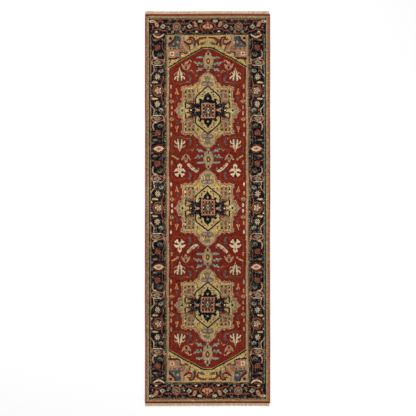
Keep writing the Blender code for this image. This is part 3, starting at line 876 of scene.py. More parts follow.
def draw_end_border(pen):
    """The palmette border across one end. The origin is at its middle, on the middle line of the navy."""
    sides = pen.both_sides()
    # Rust vines along the field side
    sides.curves(
        ([(12, -24), (24, -30), (38, -41), (64, -43), (88, -42), (100, -33)], 4, "vine"),
        ([(56, -16), (72, -13), (92, -17), (110, -27), (122, -22), (134, -30)], 6, "rust"),
        ([(134, -34), (146, -42), (166, -43), (194, -40), (222, -43), (242, -42), (256, -32)], 4.6, "vine"),
        ([(256, -26), (276, -26), (290, -20), (300, -15), (316, -16), (328, -20)], 6, "rust"),
        ([(286, -40), (312, -43), (340, -41)], 3.6, "vine"),
        ([(330, -16), (346, -20), (350, -30)], 4, "rust"),
    )
    for x in (20, 108, 208, 286):
        sides.spot(x, -43, 8, 4, "ink")
    for x in (70, 319):
        sides.fill([(x - 12, -36), (x - 3, -24), (x + 3, -24), (x + 12, -36)], "pink")
        sides.spot(x, -31, 4.5, 3.5, "cream")
    draw_end_palmette(pen)
    # Buds, tilted flowers and diamonds on each side of it
    sides.spots((47.5, 33, 15, 7.5, "cream"), (46, 33, 8.5, 4.4, "moss"), (47, 34, 3.4, 3, "cream"))
    for x, y in ((78, 14), (318, 15)):
        sides.fill([(x - 15, y - 12), (x - 6, y - 18), (x + 6, y - 14), (x + 15, y + 6), (x + 10, y + 20),
                    (x - 2, y + 18), (x - 10, y + 4)], "salmon")
        sides.fill([(x - 7, y - 8), (x + 2, y - 10), (x + 8, y + 6), (x + 4, y + 14),
                    (x - 3, y + 8)], "gold")
        sides.spot(x + 1, y, 3.4, 4.5, "brick")
    sides.curves(
        ([(90, 22), (98, 33), (108, 35), (116, 25)], 7.5, "rust"),
        ([(280, 22), (286, 33), (296, 35), (308, 30)], 7.5, "rust"),
    )
    for x in (114, 279):
        sides.gem(x, 2, 17, 16, "sand")
        sides.gem(x, 2, 12, 11, "sky")
        sides.gem(x, 2, 7, 6, "leaf")
        sides.spot(x, 2, 3.2, 3.2, "ink")
    for x, turn in ((148, 1), (242, -1)):
        curl = sides.at(x, -10, turn, 1)
        curl.spots(
            (2, -4, 6, 9, "rust"), (2, -6, 3.4, 4, "orange"), (-3, 9, 5, 5, "sky"),
            (-10, -4, 3.6, 3.6, "vine"),
        )
        curl.curve([(10, 6), (12, -6), (6, -14)], 3.2, "slate")
    draw_end_rosette(sides.at(194, 1))
    # Rust arches along the outer side, with navy cells between them
    sides.curves(
        ([(122, 18), (134, 20), (150, 17), (166, 20)], 6, "rust"),
        ([(222, 20), (236, 17), (252, 20), (264, 18)], 6, "rust"),
    )
    for x in (152, 236):
        sides.lines(([(x - 5, 20), (x - 5, 47)], 3.4, "vine"), ([(x + 5, 20), (x + 5, 47)], 3.4, "vine"))
        sides.spot(x, 40, 3, 4, "tan")
    for x, yarn in ((130, "navy"), (173, "indigo"), (215, "indigo"), (258, "navy")):
        sides.box(x - 12, x + 12, 28, 42, yarn)
    # Corner
    sides.spots((347, 33, 17, 8.5, "cream"), (345, 33, 9, 4.4, "moss"))
    sides.curve([(334, -2), (344, 8), (350, 18)], 4.5, "rust")
    sides.spots(
        (342, -6, 5, 5, "salmon"), (296, -6, 4.5, 5, "slate"), (262, 2, 4, 4, "vine"),
        (94, -6, 4, 4, "vine"),
    )


def draw_end_palmette(pen):
    """The palmette at the middle of an end border."""
    sides = pen.both_sides()
    sides.lines(
        ([(24, -8), (38, -14), (54, -20)], 8.5, "brick"),
        ([(32, -26), (42, -12), (49, 4), (38, 17), (22, 25), (6, 30)], 7, "rust"),
    )
    sides.spot(57, -6, 4.5, 4.5, "vine")
    pen.line([(0, -46), (0, -26)], 9, "brick")
    pen.fill([(-34, 8), (-32, -4), (-16, -16), (16, -16), (32, -4), (34, 8), (22, 10), (14, 18), (0, 24),
              (-14, 18), (-22, 10)], "salmon")
    sides.fill([(14, 8), (30, 6), (24, -6), (12, -4)], "pink")
    pen.fill([(-10, 14), (10, 14), (14, 0), (0, -12), (-14, 0)], "brick")
    pen.spots((0, 12, 6, 5, "gold"), (0, -2, 5.5, 5.5, "cream"), (0, -2, 3, 3, "rust"))
    pen.box(-17, 17, 27, 34, "brick")
    pen.box(-9, 9, 34, 42, "brick")
    pen.spot(0, 26, 4, 3.4, "gold")


def draw_end_rosette(pen):
    """The ringed rosette of an end border, with its stems and leaf bulbs."""
    pen.lines(([(0, 22), (0, 46)], 6, "rust"), ([(0, -22), (0, -42)], 7, "brick"))
    edge = four_quarters([(0, 28), (18, 22), (27, 10)])
    pen.bands(edge, ((0, "rust"), (4.6, "brown"), (7, "vine")))
    for turn in range(12):
        angle = math.pi / 6 * turn
        pen.spot(21 * math.cos(angle), 21 * math.sin(angle), 3.4, 3.4, "tan" if turn % 2 else "orange")
    pen.spot(0, 0, 16, 16, "ink")
    petals = ("slate", "sky", "slate", "pink")
    for turn in range(8):
        angle = math.pi / 4 * turn + 0.3
        pen.spot(10 * math.cos(angle), 10 * math.sin(angle), 3.6, 3.6, petals[turn % 4])
    pen.spots((0, 0, 6, 6, "slate"), (0, 0, 3.4, 3.4, "orange"))
    for x in (-24, 24):
        pen.fill([(x - 9, -38), (x + 9, -38), (x + 4, -24), (x - 4, -24)], "sky")
        pen.spot(x, -32, 3.6, 3.6, "leaf")


# ---------------------------------------------------------------- straight bands

def speckle(loom, mask, yarn, share, rng):
    """Scatters single knots of another yarn."""
    loom.yarn[mask & (rng.random(loom.yarn.shape) < share)] = YARNS[yarn]


def mottle(loom, mask, yarn, share, rng):
    """Scatters patches of two by two knots of another yarn."""
    rows, columns = loom.yarn.shape
    coarse = rng.random((rows // 2 + 1, columns // 2 + 1)) < share
    patches = coarse.repeat(2, 0).repeat(2, 1)[:rows, :columns]
    loom.yarn[mask & patches] = YARNS[yarn]


def lay(loom, mask, ground, others, rng, scatter=speckle):
    """Paints an area in one yarn and scatters others over it."""
    loom.yarn[mask] = YARNS[ground]
    for yarn, share in others:
        scatter(loom, mask, yarn, share, rng)


def weave_bands(loom, bands, rng):
    """The grounds and lines that run straight along the rug, from the edge to the field."""
    x, y = np.abs(loom.seen_x), np.abs(loom.seen_y)
    navy_y = bands["border_y"] + np.where(loom.seen_y < 0, NEAR_NAVY_EXTRA, 0.0)
    along = np.where(y > bands["guard_y"], loom.seen_x, loom.seen_y)
    weave_grounds(loom, bands, (x, y, navy_y, along), rng)
    weave_border_edge(loom, bands, (x, y, navy_y), rng)
    weave_guard_edges(loom, bands, (x, y, along), rng)


def weave_grounds(loom, bands, places, rng):
    """The outer guard with its chain of leaves, the navy ground of the main border, and the inner guard."""
    x, y, navy_y, along = places
    border_x, guard_x, guard_y = bands["border_x"], bands["guard_x"], bands["guard_y"]
    outer = (x > border_x) | (y > navy_y)
    border = ~outer & ((x > guard_x) | (y > guard_y))
    inner = ~outer & ~border & ((x > bands["field_x"]) | (y > bands["field_y"]))
    loom.yarn[:] = YARNS["red"]

    lay(loom, outer, "tan", (("sand", 0.34), ("buff", 0.16), ("sage", 0.12), ("brown", 0.05)), rng)
    chain = (np.abs(x - border_x - 21) < 2.2) | ((np.abs(y - navy_y - 17) < 2.2) & (x < border_x + 20))
    loom.yarn[outer & chain & (np.sin(along / 1.9) > 0.2)] = YARNS["leaf"]
    loom.yarn[outer & chain & (np.sin(along / 5.3) > 0.75)] = YARNS["rust"]
    # The outermost knots take on the red of the selvedge
    speckle(loom, outer & (x > loom.edge_x[-1] - 6.3), "rust", 0.35, rng)
    speckle(loom, outer & (x > loom.edge_x[-1] - 3.4), "rust", 0.8, rng)

    lay(loom, border, "navy", (("ink", 0.18),), rng)
    mottle(loom, border & (y < guard_y), "brown", 0.02, rng)
    speckle(loom, border, "blue", 0.03, rng)
    mottle(loom, border, "indigo", 0.08, rng)

    lay(loom, inner, "sage", (("sand", 0.3), ("leaf", 0.15), ("tan", 0.15)), rng)


def weave_border_edge(loom, bands, places, rng):
    """The lines between the main border and the outer guard."""
    x, y, navy_y = places
    border_x, border_y, guard_y = bands["border_x"], bands["border_y"], bands["guard_y"]
    stripe = (x > border_x) & (x <= border_x + 8) & (y < guard_y)
    lay(loom, stripe, "moss", (("vine", 0.25), ("tan", 0.25), ("ink", 0.12)), rng)
    loom.yarn[(x > border_x + 8) & (x < border_x + 13.4) & (y < border_y + 12)] = YARNS["ink"]
    corner = (x > border_x) & (x <= border_x + 8) & (y >= guard_y) & (y < navy_y + 6)
    loom.yarn[corner] = YARNS["navy"]
    line_y = border_y + np.where(loom.seen_y < 0, NEAR_LINE_EXTRA, 0.0)
    end_line = (y > line_y) & (y < line_y + 10.5) & (x < border_x + 8)
    lay(loom, end_line, "brown", (("vine", 0.35), ("tan", 0.24), ("ink", 0.12)), rng)
    dark_row = end_line & (np.abs(y - line_y - 8) < 1.6)
    loom.yarn[dark_row & (np.sin(loom.seen_x / 3.2) > 0.2)] = YARNS["ink"]


def weave_guard_edges(loom, bands, places, rng):
    """The lines on both sides of the inner guard."""
    x, y, along = places
    border_x, guard_x, guard_y = bands["border_x"], bands["guard_x"], bands["guard_y"]
    field_x, field_y = bands["field_x"], bands["field_y"]
    # Brown line with dark dots between the main border and the inner guard
    edge_sides = (x > guard_x - 8) & (x < guard_x + 2) & (y < guard_y + 3)
    edge_ends = (y > guard_y - 2) & (y < guard_y + 3) & (x < guard_x)
    edge = edge_sides | edge_ends
    lay(loom, edge, "brown", (("vine", 0.3), ("moss", 0.3), ("ink", 0.16), ("sand", 0.08)), rng, mottle)
    dots = (np.abs(x - guard_x + 2) < 2.3) | (np.abs(y - guard_y - 1) < 1.6)
    loom.yarn[edge & dots & (np.sin(along / 2.4) > 0.1)] = YARNS["ink"]
    rim_sides = (x > guard_x - 11) & (x <= guard_x - 8) & (y < guard_y)
    rim_ends = (y > guard_y - 4) & (y <= guard_y - 2) & (x < guard_x)
    loom.yarn[rim_sides | rim_ends] = YARNS["olive"]
    # Sand and salmon stripe next to the field
    last_sides = (x > field_x) & (x < field_x + 6.5) & (y < field_y + 2)
    last_ends = (y > field_y) & (y < field_y + 4) & (x < field_x)
    lay(loom, last_sides | last_ends, "sand", (("salmon", 0.45),), rng)
    # Brown line where an end border meets the side borders
    loom.yarn[(y > guard_y) & (y < guard_y + 3.2) & (x >= guard_x) & (x < border_x)] = YARNS["vine"]


# Yarns that break up each ground, with their shares: first in patches, then knot by knot
PATCHES = (
    ("red", (("brick", 0.13), ("deep_red", 0.17), ("brown", 0.02), ("ink", 0.015))),
    ("straw", (("gold", 0.10), ("buff", 0.10), ("cream", 0.05), ("moss", 0.07), ("vine", 0.03))),
    ("navy", (("ink", 0.12), ("blue", 0.06), ("deep_red", 0.02))),
    ("sky", (("slate", 0.12), ("sand", 0.1))),
    ("gold", (("orange", 0.08), ("buff", 0.12))),
    ("salmon", (("vine", 0.07), ("pink", 0.1))),
    ("sand", (("tan", 0.2), ("cream", 0.08))),
)
SINGLE_KNOTS = (
    ("red", (("brick", 0.12), ("deep_red", 0.10))),
    ("straw", (("gold", 0.14), ("buff", 0.12), ("sage", 0.06), ("moss", 0.03))),
    ("buff", (("gold", 0.3), ("tan", 0.15), ("straw", 0.15))),
    ("gold", (("buff", 0.15), ("orange", 0.08))),
    ("salmon", (("pink", 0.14), ("vine", 0.08))),
    ("navy", (("ink", 0.1), ("blue", 0.02))),
    ("cream", (("sand", 0.16), ("ivory", 0.08))),
    ("sky", (("slate", 0.14), ("sage", 0.1))),
    ("blue", (("teal", 0.25), ("navy", 0.12), ("slate", 0.08))),
    ("moss", (("olive", 0.25), ("tan", 0.15))),
)


def scatter_flecks(loom, rng):
    """Small changes of yarn that break up the grounds, as in a real cartoon."""
    for scatter, grounds in ((mottle, PATCHES), (speckle, SINGLE_KNOTS)):
        for ground, others in grounds:
            mask = loom.yarn == YARNS[ground]
            for yarn, share in others:
                scatter(loom, mask, yarn, share, rng)


def paint_rug(loom, bands, areas, rng):
    """Paints the whole design. The areas are centres and half sizes in millimetres."""
    weave_bands(loom, bands, rng)
    pen = Pen(loom)
    middles = [areas["medallion_ground"][side][1] for side in SIDES]
    poles = [box[1] for box in areas["pole_palmette"]]
    draw_field_flowers(pen, middles)
    draw_pole_flowers(pen, poles)
    for box, turn, stretch in zip(areas["pole_palmette"], (1, -1, 1, -1), (1.0, 1.0, 1.0, 1.12)):
        draw_pole_motif(pen.at(box[0], box[1], 1, turn * stretch))
    for side in SIDES:
        draw_medallion(pen, *(areas["medallion_" + part][side] for part in ("ground", "lozenge", "square")))
    draw_spandrel(pen.at(0, bands["field_y"]))
    draw_spandrel(pen.at(0, -bands["field_y"], 1, -1))
    draw_side_borders(pen, bands["guard_y"])
    for turn in (1, -1):
        middle_line = bands["border_y"] - END_BORDER_INSET
        draw_end_border(pen.at(END_BORDER_SHIFT * turn, turn * middle_line, 1, turn))
    scatter_flecks(loom, rng)


# ---------------------------------------------------------------- lie of the rug

MM = 0.001
PILE_FOOT = 3.15  # mm above the floor, just over the foundation
KNOT_CORNER = 7.85  # mm above the floor, in the valleys between knots
KNOT_CROWN = 8.85  # mm above the floor, at the middle of a knot
KNOT_LIMIT = 9.25  # mm above the floor, which no knot passes
CORNER_SHIFT = 0.32  # mm by which the corners of the knots are off the grid
LARGEST_SHIFT = 0.7  # mm
NEAR_LEAN = 0.35  # mm by which the tufts lean towards the near end


def lie(points):
    """Bends points of the flat rug, in mm, into the slight wander and rise of one that lies on a floor."""
    x, y, z = points.T
    wander = 0.5 * np.sin(y / 190.0 + 0.4) + 0.25 * np.sin(y / 71.0 + 1.1)
    slant = 0.7 * np.sin(x / 140.0 + 0.8) * np.abs(y) / 1230.0
    near_edge = np.clip((np.abs(x) - 250.0) / 140.0, 0.0, 1.0) ** 2
    near_end = np.clip((np.abs(y) - 1080.0) / 150.0, 0.0, 1.0) ** 2
    rise = 0.35 * (1.0 + np.sin(x / 83.0 + y / 301.0)) * (0.5 + 0.5 * np.sin(y / 167.0 + 2.0))
    rise += 0.5 * near_edge * (1.0 + np.sin(y / 118.0)) + 0.4 * near_end * (1.0 + np.sin(x / 64.0 + 1.0))
    return np.stack([x + wander, y + slant, z + rise], 1)


def build_mesh(name, points, groups, uvs=None, colours=None, creased=0):
    """Makes an object from points in mm. The groups are arrays of faces, as corner numbers.

    Edges between two of the first `creased` points stay sharp."""
    sizes = np.concatenate([np.full(len(g), g.shape[1]) for g in groups])
    corners = np.concatenate([g.ravel() for g in groups]).astype(np.int32)
    mesh = bpy.data.meshes.new(name)
    mesh.vertices.add(len(points))
    mesh.vertices.foreach_set("co", (lie(points) * MM).astype(np.float32).ravel())
    mesh.loops.add(len(corners))
    mesh.loops.foreach_set("vertex_index", corners)
    mesh.polygons.add(len(sizes))
    mesh.polygons.foreach_set("loop_start", (np.cumsum(sizes) - sizes).astype(np.int32))
    mesh.polygons.foreach_set("use_smooth", np.full(len(sizes), True))
    if uvs is not None:
        mesh.uv_layers.new(name="OFBake").data.foreach_set("uv", uvs.astype(np.float32).ravel())
    if colours is not None:
        yarn = mesh.attributes.new("yarn", "FLOAT_COLOR", "CORNER")
        yarn.data.foreach_set("color", np.repeat(colours, sizes, axis=0).astype(np.float32).ravel())
    mesh.update(calc_edges=True)
    mesh.validate()
    if creased:
        ends = np.empty(2 * len(mesh.edges), np.int32)
        mesh.edges.foreach_get("vertices", ends)
        sharp = mesh.attributes.new("sharp_edge", "BOOLEAN", "EDGE")
        sharp.data.foreach_set("value", (ends.reshape(-1, 2) < creased).all(1))
    made = bpy.data.objects.new(name, mesh)
    bpy.context.scene.collection.objects.link(made)
    return made


def place(made, node, material):
    """Puts a piece where its CAD node is, with its material."""
    made.data.materials.append(material)
    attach(made, "root")
    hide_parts(node)
    return made


# ---------------------------------------------------------------- pile

def box_mm(node):
    """The low and the high corner of a node's box in the frame, in mm."""
    low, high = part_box(node)
    return [1000.0 * v for v in low], [1000.0 * v for v in high]


def centre_and_half(node):
    """The centre and the half sizes of a node, across and along, in mm."""
    low, high = box_mm(node)
    return (low[0] + high[0]) / 2, (low[1] + high[1]) / 2, (high[0] - low[0]) / 2, (high[1] - low[1]) / 2


def linear(colour):
    """The linear value of an sRGB colour that runs from 0 to 255."""
    c = np.asarray(colour, float) / 255.0
    return np.where(c <= 0.04045, c / 12.92, ((c + 0.055) / 1.055) ** 2.4)


def opaque(colours):
    """The colours with an alpha of 1."""
    return np.concatenate([colours, np.ones((len(colours), 1))], 1)


def knot_colours(loom, rng):
    """The linear colour of each knot: its yarn, the dye's drift along the rug, and a little of its own."""
    base = linear(list(YARN_COLOURS.values()))[loom.yarn]
    rows, columns = loom.yarn.shape
    drift = np.zeros(rows)
    # Lengths in mm over which the dye drifts, and how far it does
    for length, depth in ((310, 0.05), (97, 0.035), (23, 0.025)):
        steps = rng.normal(0.0, depth, int(loom.edge_y[-1] * 2 / length) + 3)
        drift += np.interp(np.arange(rows) * KNOT / length, np.arange(len(steps)), steps)
    per_row = rng.normal(0.0, 0.03, rows)
    per_knot = rng.normal(0.0, 0.11, (rows, columns))
    light = 1.0 + drift[:, None] + per_row[:, None] + per_knot
    warmth = rng.normal(0.0, 0.035, (rows, columns))
    tint = np.stack([1.0 + warmth, np.ones_like(warmth), 1.0 - 1.2 * warmth], 2)
    return np.clip(base * light[..., None] * tint, 0.002, 0.95)


POLE_QUARTER = [(0, 56), (20, 46), (32, 24)]
# Right half of a spandrel, as mm from the rug's middle line and mm past the end of the field
SPANDREL_RIGHT = [(260, 9), (260, -208), (104, -122), (27, -80)]


def zone_masks(loom, areas, bands):
    """Which knots belong to each pile node of the CAD, from the middle of the design outwards."""
    x, y = np.meshgrid(loom.x, loom.y)
    masks = {}

    def within(quarter, box):
        """The knots inside an outline that is scaled to fill the box."""
        centre_x, centre_y, half_x, half_y = box
        px, py = np.array(four_quarters(quarter), float).T
        return inside_polygon(x, y, centre_x + half_x / px.max() * px, centre_y + half_y / py.max() * py)

    free = (np.abs(x) < bands["field_x"]) & (np.abs(y) < bands["field_y"])
    for side in SIDES:
        inner = np.zeros_like(free)
        for part, quarter in (
            ("square", [SQUARE_REACH]), ("lozenge", LOZENGE_QUARTER), ("ground", MEDALLION_QUARTER),
        ):
            mask = within(quarter, areas["medallion_" + part][side]) & ~inner
            masks[f"medallion_{part}_pile_{side}"] = mask
            inner |= mask
        free &= ~inner
    for number, box in enumerate(areas["pole_palmette"], 1):
        mask = within(POLE_QUARTER, box) & free
        masks[f"pole_palmette_pile_{number}"] = mask
        free &= ~mask
    for side, turn in (("far", 1), ("near", -1)):
        right = [(reach, turn * (bands["field_y"] + depth)) for reach, depth in SPANDREL_RIGHT]
        px, py = np.array(mirrored(right), float).T
        mask = inside_polygon(x, y, px, py) & free
        masks["spandrel_pile_" + side] = mask
        free &= ~mask
    masks["field_pile"] = free
    masks.update(band_masks(x, y, bands))
    return masks


def band_masks(x, y, bands):
    """Which knots belong to each side of the guards and the main border."""
    wide, tall = np.abs(x), np.abs(y)
    masks = {}
    for name, low_x, high_x, low_y, high_y in (
        ("inner_guard", "field_x", "guard_x", "field_y", "guard_y"),
        ("main_border", "guard_x", "border_x", "guard_y", "border_y"),
        ("outer_guard", "border_x", "pile_x", "border_y", "pile_y"),
    ):
        ends = (tall >= bands[low_y]) & (tall < bands[high_y]) & (wide < bands[high_x])
        sides = (wide >= bands[low_x]) & (wide < bands[high_x]) & (tall < bands[low_y])
        masks[name + "_pile_far"] = ends & (y > 0)
        masks[name + "_pile_near"] = ends & (y < 0)
        masks[name + "_pile_left"] = sides & (x < 0)
        masks[name + "_pile_right"] = sides & (x > 0)
    return masks


def folded_uvs(rows, columns, row0, column0, height, width):
    """Texture places for knots. A long zone is folded into columns or rows, so that it fills the square."""
    r, c = rows - row0, columns - column0
    if height >= width:
        folds = max(1, round(math.sqrt(height / width)))
        run = math.ceil(height / folds)
        return ((r // run) * width + c), r % run, folds * width, run
    folds = max(1, round(math.sqrt(width / height)))
    run = math.ceil(width / folds)
    return c % run, (c // run) * height + r, run, folds * height


def pile_relief(loom, rng):
    """Positions in mm of the knot corners, and heights of the knot tops."""
    corner_shape = (loom.rows + 1, loom.columns + 1)
    ridge = 0.16 * np.sin(np.arange(loom.rows + 1) * 1.3)[:, None]
    waves = 0.18 * np.sin(loom.edge_y[:, None] / 19.0 + 0.7 * np.sin(loom.edge_x[None, :] / 41.0))
    height = KNOT_CORNER + ridge + waves + rng.normal(0.0, 0.12, corner_shape)
    across, along = np.meshgrid(loom.edge_x, loom.edge_y)
    shift = np.clip(rng.normal(0.0, CORNER_SHIFT, (2, *corner_shape)), -LARGEST_SHIFT, LARGEST_SHIFT)
    shift[:, [0, -1], :] = 0.0
    shift[:, :, [0, -1]] = 0.0
    corners = np.stack([across + shift[0], along + shift[1], height], 2)
    tops = KNOT_CROWN + rng.normal(0.0, 0.14, (loom.rows, loom.columns))
    tops += (waves + ridge)[:-1, :-1]
    return corners, np.minimum(tops, KNOT_LIMIT)


def build_pile(loom, mask, name, relief, colours, rng):
    """One zone of the pile: a cushion of four faces for each knot, and a wall round it."""
    corners, top_height = relief
    rows, columns = np.nonzero(mask)
    wide = loom.columns + 1
    corner_ids = np.stack([rows * wide + columns, rows * wide + columns + 1,
                           (rows + 1) * wide + columns + 1, (rows + 1) * wide + columns], 1)
    used, numbered = np.unique(corner_ids, return_inverse=True)
    numbered = numbered.reshape(corner_ids.shape)
    top_points = corners[used // wide, used % wide]
    lean = rng.normal(0.0, 0.22, (len(rows), 2))
    centre_x = loom.x[columns] + lean[:, 0]
    centre_y = loom.y[rows] - NEAR_LEAN + lean[:, 1]
    centres = np.stack([centre_x, centre_y, top_height[rows, columns]], 1)
    centre_ids = len(used) + np.arange(len(rows))

    knot = colours[rows, columns]
    u0, v0, across, along = folded_uvs(rows, columns, rows.min(), columns.min(),
                                       np.ptp(rows) + 1, np.ptp(columns) + 1)
    uv_corner = np.stack([np.stack([u0 + du, v0 + dv], 1) for du, dv in ((0, 0), (1, 0), (1, 1), (0, 1))], 1)
    uv_centre = np.stack([u0 + 0.5, v0 + 0.5], 1)
    faces, uvs = [], []
    for k in range(4):
        j = (k + 1) % 4
        faces.append(np.stack([numbered[:, k], numbered[:, j], centre_ids], 1))
        uvs.append(np.stack([uv_corner[:, k], uv_corner[:, j], uv_centre], 1))
    fan = np.concatenate(faces)
    fan_uvs = np.concatenate(uvs).reshape(-1, 2)
    fan_colours = np.tile(knot, (4, 1))

    # Walls where the next knot belongs to another zone, in their knot's colour darkened to 0.8 as painted
    # shade
    padded = np.pad(mask, 1)
    walls, wall_uvs, shaded_wall_colours = [], [], []
    for k, (dr, dc) in enumerate(((-1, 0), (0, 1), (1, 0), (0, -1))):
        j = (k + 1) % 4
        open_side = ~padded[rows + 1 + dr, columns + 1 + dc]
        walls.append(np.stack([numbered[open_side, j], numbered[open_side, k]], 1))
        inside = 0.7 * uv_centre[open_side, None] + 0.3 * uv_corner[open_side][:, [j, k]]
        deep = 0.9 * uv_centre[open_side, None] + 0.1 * uv_corner[open_side][:, [k, j]]
        wall_uvs.append(np.concatenate([inside, deep], 1))
        # Painted shade: each wall takes its knot's yarn colour darkened to 0.8
        shaded_wall_colours.append(knot[open_side] * 0.8)
    edges = np.concatenate(walls)
    rim, rim_numbers = np.unique(edges, return_inverse=True)
    rim_numbers = rim_numbers.reshape(edges.shape) + len(used) + len(rows)
    foot = top_points[rim].copy()
    foot[:, 2] = PILE_FOOT
    wall_faces = np.stack([edges[:, 0], edges[:, 1], rim_numbers[:, 1], rim_numbers[:, 0]], 1)

    points = np.concatenate([top_points, centres, foot])
    all_uvs = np.concatenate([fan_uvs, np.concatenate(wall_uvs).reshape(-1, 2)]) / (across, along)
    rgba = opaque(np.concatenate([fan_colours, *shaded_wall_colours]))
    return build_mesh(name, points, [fan, wall_faces], all_uvs, rgba, creased=len(used))


# ---------------------------------------------------------------- foundation and edges

SHEET_INSET = 0.15  # mm from the edge of the pile to the edge of the foundation
SHEET_FOOT = 0.1  # mm above the floor
SHEET_TOP = 2.95  # mm above the floor
# The foundation's texture: the underside fills most of the width, then come strips for its top and its rim
TEXTURE_WIDTH = 1.04  # where the underside's is 1
TOP_STRIP = 0.965
RIM_STRIP = 0.985
STRIP_WIDTH = 0.01


def build_foundation(loom, colours):
    """The woven cotton sheet, closed all round, with the backs of the knots on its underside."""
    half_x, half_y = -loom.edge_x[0] - SHEET_INSET, -loom.edge_y[0] - SHEET_INSET
    edge_x = np.clip(loom.edge_x, -half_x, half_x)
    edge_y = np.clip(loom.edge_y, -half_y, half_y)
    across, along = np.meshgrid(edge_x, edge_y)
    ribs = 0.16 * (np.arange(loom.columns + 1) % 2)[None, :] + 0.12 * (np.arange(loom.rows + 1) % 2)[:, None]
    under = np.stack([across, along, SHEET_FOOT + ribs], 2).reshape(-1, 3)
    over = np.stack([across, along, np.full_like(across, SHEET_TOP)], 2).reshape(-1, 3)
    wide, tall = loom.columns + 1, loom.rows + 1
    rows, columns = np.divmod(np.arange(loom.rows * loom.columns), loom.columns)
    a = rows * wide + columns
    down = np.stack([a, a + wide, a + wide + 1, a + 1], 1)
    up = down[:, ::-1] + wide * tall
    rim = np.concatenate([
        np.arange(wide - 1), np.arange(tall - 1) * wide + wide - 1,
        (tall - 1) * wide + np.arange(wide - 1, 0, -1), np.arange(tall - 1, 0, -1) * wide,
    ])
    after = np.roll(rim, -1)
    wall = np.stack([rim, after, after + wide * tall, rim + wide * tall], 1)
    cotton = linear(COTTON)
    back = colours[rows, columns] * 0.75 + cotton * 0.22
    plain = np.tile(cotton, (len(up) + len(wall), 1))
    rgba = opaque(np.concatenate([back, plain]))

    u0, v0, total_u, total_v = folded_uvs(rows, columns, 0, 0, loom.rows, loom.columns)
    back_uvs = np.stack([np.stack([u0 + du, v0 + dv], 1) for du, dv in ((0, 0), (0, 1), (1, 1), (1, 0))], 1)
    back_uvs = back_uvs / (total_u * TEXTURE_WIDTH, total_v)
    front_u = TOP_STRIP + STRIP_WIDTH * back_uvs[::-1, ::-1, 0]
    front_uvs = np.stack([front_u, back_uvs[::-1, ::-1, 1]], 2)
    rim_uvs = np.zeros((len(wall), 4, 2))
    rim_uvs[:, :, 0] = RIM_STRIP + np.array([0, 0, STRIP_WIDTH, STRIP_WIDTH])
    steps = np.arange(len(wall)) / len(wall)
    rim_uvs[:, :, 1] = steps[:, None] + np.array([0, 1, 1, 0]) / len(wall)
    uvs = np.concatenate([back_uvs, front_uvs, rim_uvs]).reshape(-1, 2)
    return build_mesh("foundation_sheet", np.concatenate([under, over]), [down, up, wall], uvs, rgba)


def sweep(path, radii, sides):
    """A tube of rings round a path, given as n centres and n pairs of radii, across and up.

    Returns its points, its quads and its two caps."""
    angles = 2 * math.pi * np.arange(sides) / sides
    n = len(path)
    ahead = np.gradient(path, axis=0)
    ahead /= np.linalg.norm(ahead, axis=1)[:, None]
    side = np.cross(ahead, (0.0, 0.0, 1.0))
    side /= np.linalg.norm(side, axis=1)[:, None]
    up = np.cross(side, ahead)
    rings = (path[:, None] + radii[:, None, :1] * np.cos(angles)[None, :, None] * side[:, None]
             + radii[:, None, 1:] * np.sin(angles)[None, :, None] * up[:, None])
    ids = np.arange(n * sides).reshape(n, sides)
    after = np.roll(ids, -1, axis=1)
    quads = np.stack([ids[:-1], after[:-1], after[1:], ids[1:]], 2).reshape(-1, 4)
    return rings.reshape(-1, 3), quads, [ids[0][::-1], ids[-1]]


def join_tubes(name, tubes, colours=None):
    """One object from several swept tubes, each closed by a cap at both ends."""
    points, quads, caps, shades, cap_shades, start = [], [], [], [], [], 0
    for number, (ring_points, tube_quads, tube_caps) in enumerate(tubes):
        points.append(ring_points)
        quads.append(tube_quads + start)
        caps.append(np.stack(tube_caps) + start)
        start += len(ring_points)
        if colours is not None:
            shades.append(np.tile(colours[number], (len(tube_quads), 1)))
            cap_shades.append(np.tile(colours[number], (2, 1)))
    rgba = None
    if colours is not None:
        rgba = opaque(np.concatenate(shades + cap_shades))
    groups = [np.concatenate(quads), np.concatenate(caps)]
    return build_mesh(name, np.concatenate(points), groups, None, rgba)


WRAP_TURN = 3.4  # mm along the edge for each turn of the selvedge's yarn
WRAP_RIB = 0.22  # mm by which a turn bulges out or in
WRAP_INSET = 0.25  # mm from the node's box to the middle height of the ribs


def build_selvedge(node, rng):
    """Overcast wool: each turn of the yarn makes a rib round the edge cords."""
    low, high = box_mm(node)
    y = np.arange(low[1], high[1], WRAP_TURN / 5)
    bulge = WRAP_RIB * np.cos(2 * math.pi * y / WRAP_TURN) + rng.normal(0, 0.03, len(y))
    x = (low[0] + high[0]) / 2 + 0.15 * np.sin(y / 37.0)
    half_x, half_z = (high[0] - low[0]) / 2, (high[2] - low[2]) / 2
    path = np.stack([x, y, np.full(len(y), (high[2] + low[2]) / 2)], 1)
    radii = np.stack([half_x - WRAP_INSET + bulge, half_z - WRAP_INSET + bulge], 1)
    return join_tubes(node + "_yarn", [sweep(path, radii, sides=12)])


PLY_PLACE = 0.48  # from the cord's middle to a ply's, as a share of the cord's radius
PLY_RADIUS = 0.52  # of a ply, as a share of the cord's radius


def twisted_cord(start, end, radius, lay, plies, step):
    """Tubes of a plied cord between two points, in mm. The lay is the length of one turn of the plies."""
    start, end = np.array(start, float), np.array(end, float)
    length = np.linalg.norm(end - start)
    along = np.linspace(0.0, 1.0, max(4, int(length / step)))
    ahead = (end - start) / length
    side = np.cross(ahead, (0.0, 0.0, 1.0))
    side /= np.linalg.norm(side)
    up = np.cross(side, ahead)
    tubes = []
    for ply in range(plies):
        angle = 2 * math.pi * (along * length / lay + ply / plies)
        offset = PLY_PLACE * radius * (np.cos(angle)[:, None] * side + np.sin(angle)[:, None] * up)
        path = start + along[:, None] * (end - start) + offset
        tubes.append(sweep(path, np.full((len(along), 2), PLY_RADIUS * radius), sides=6))
    return tubes


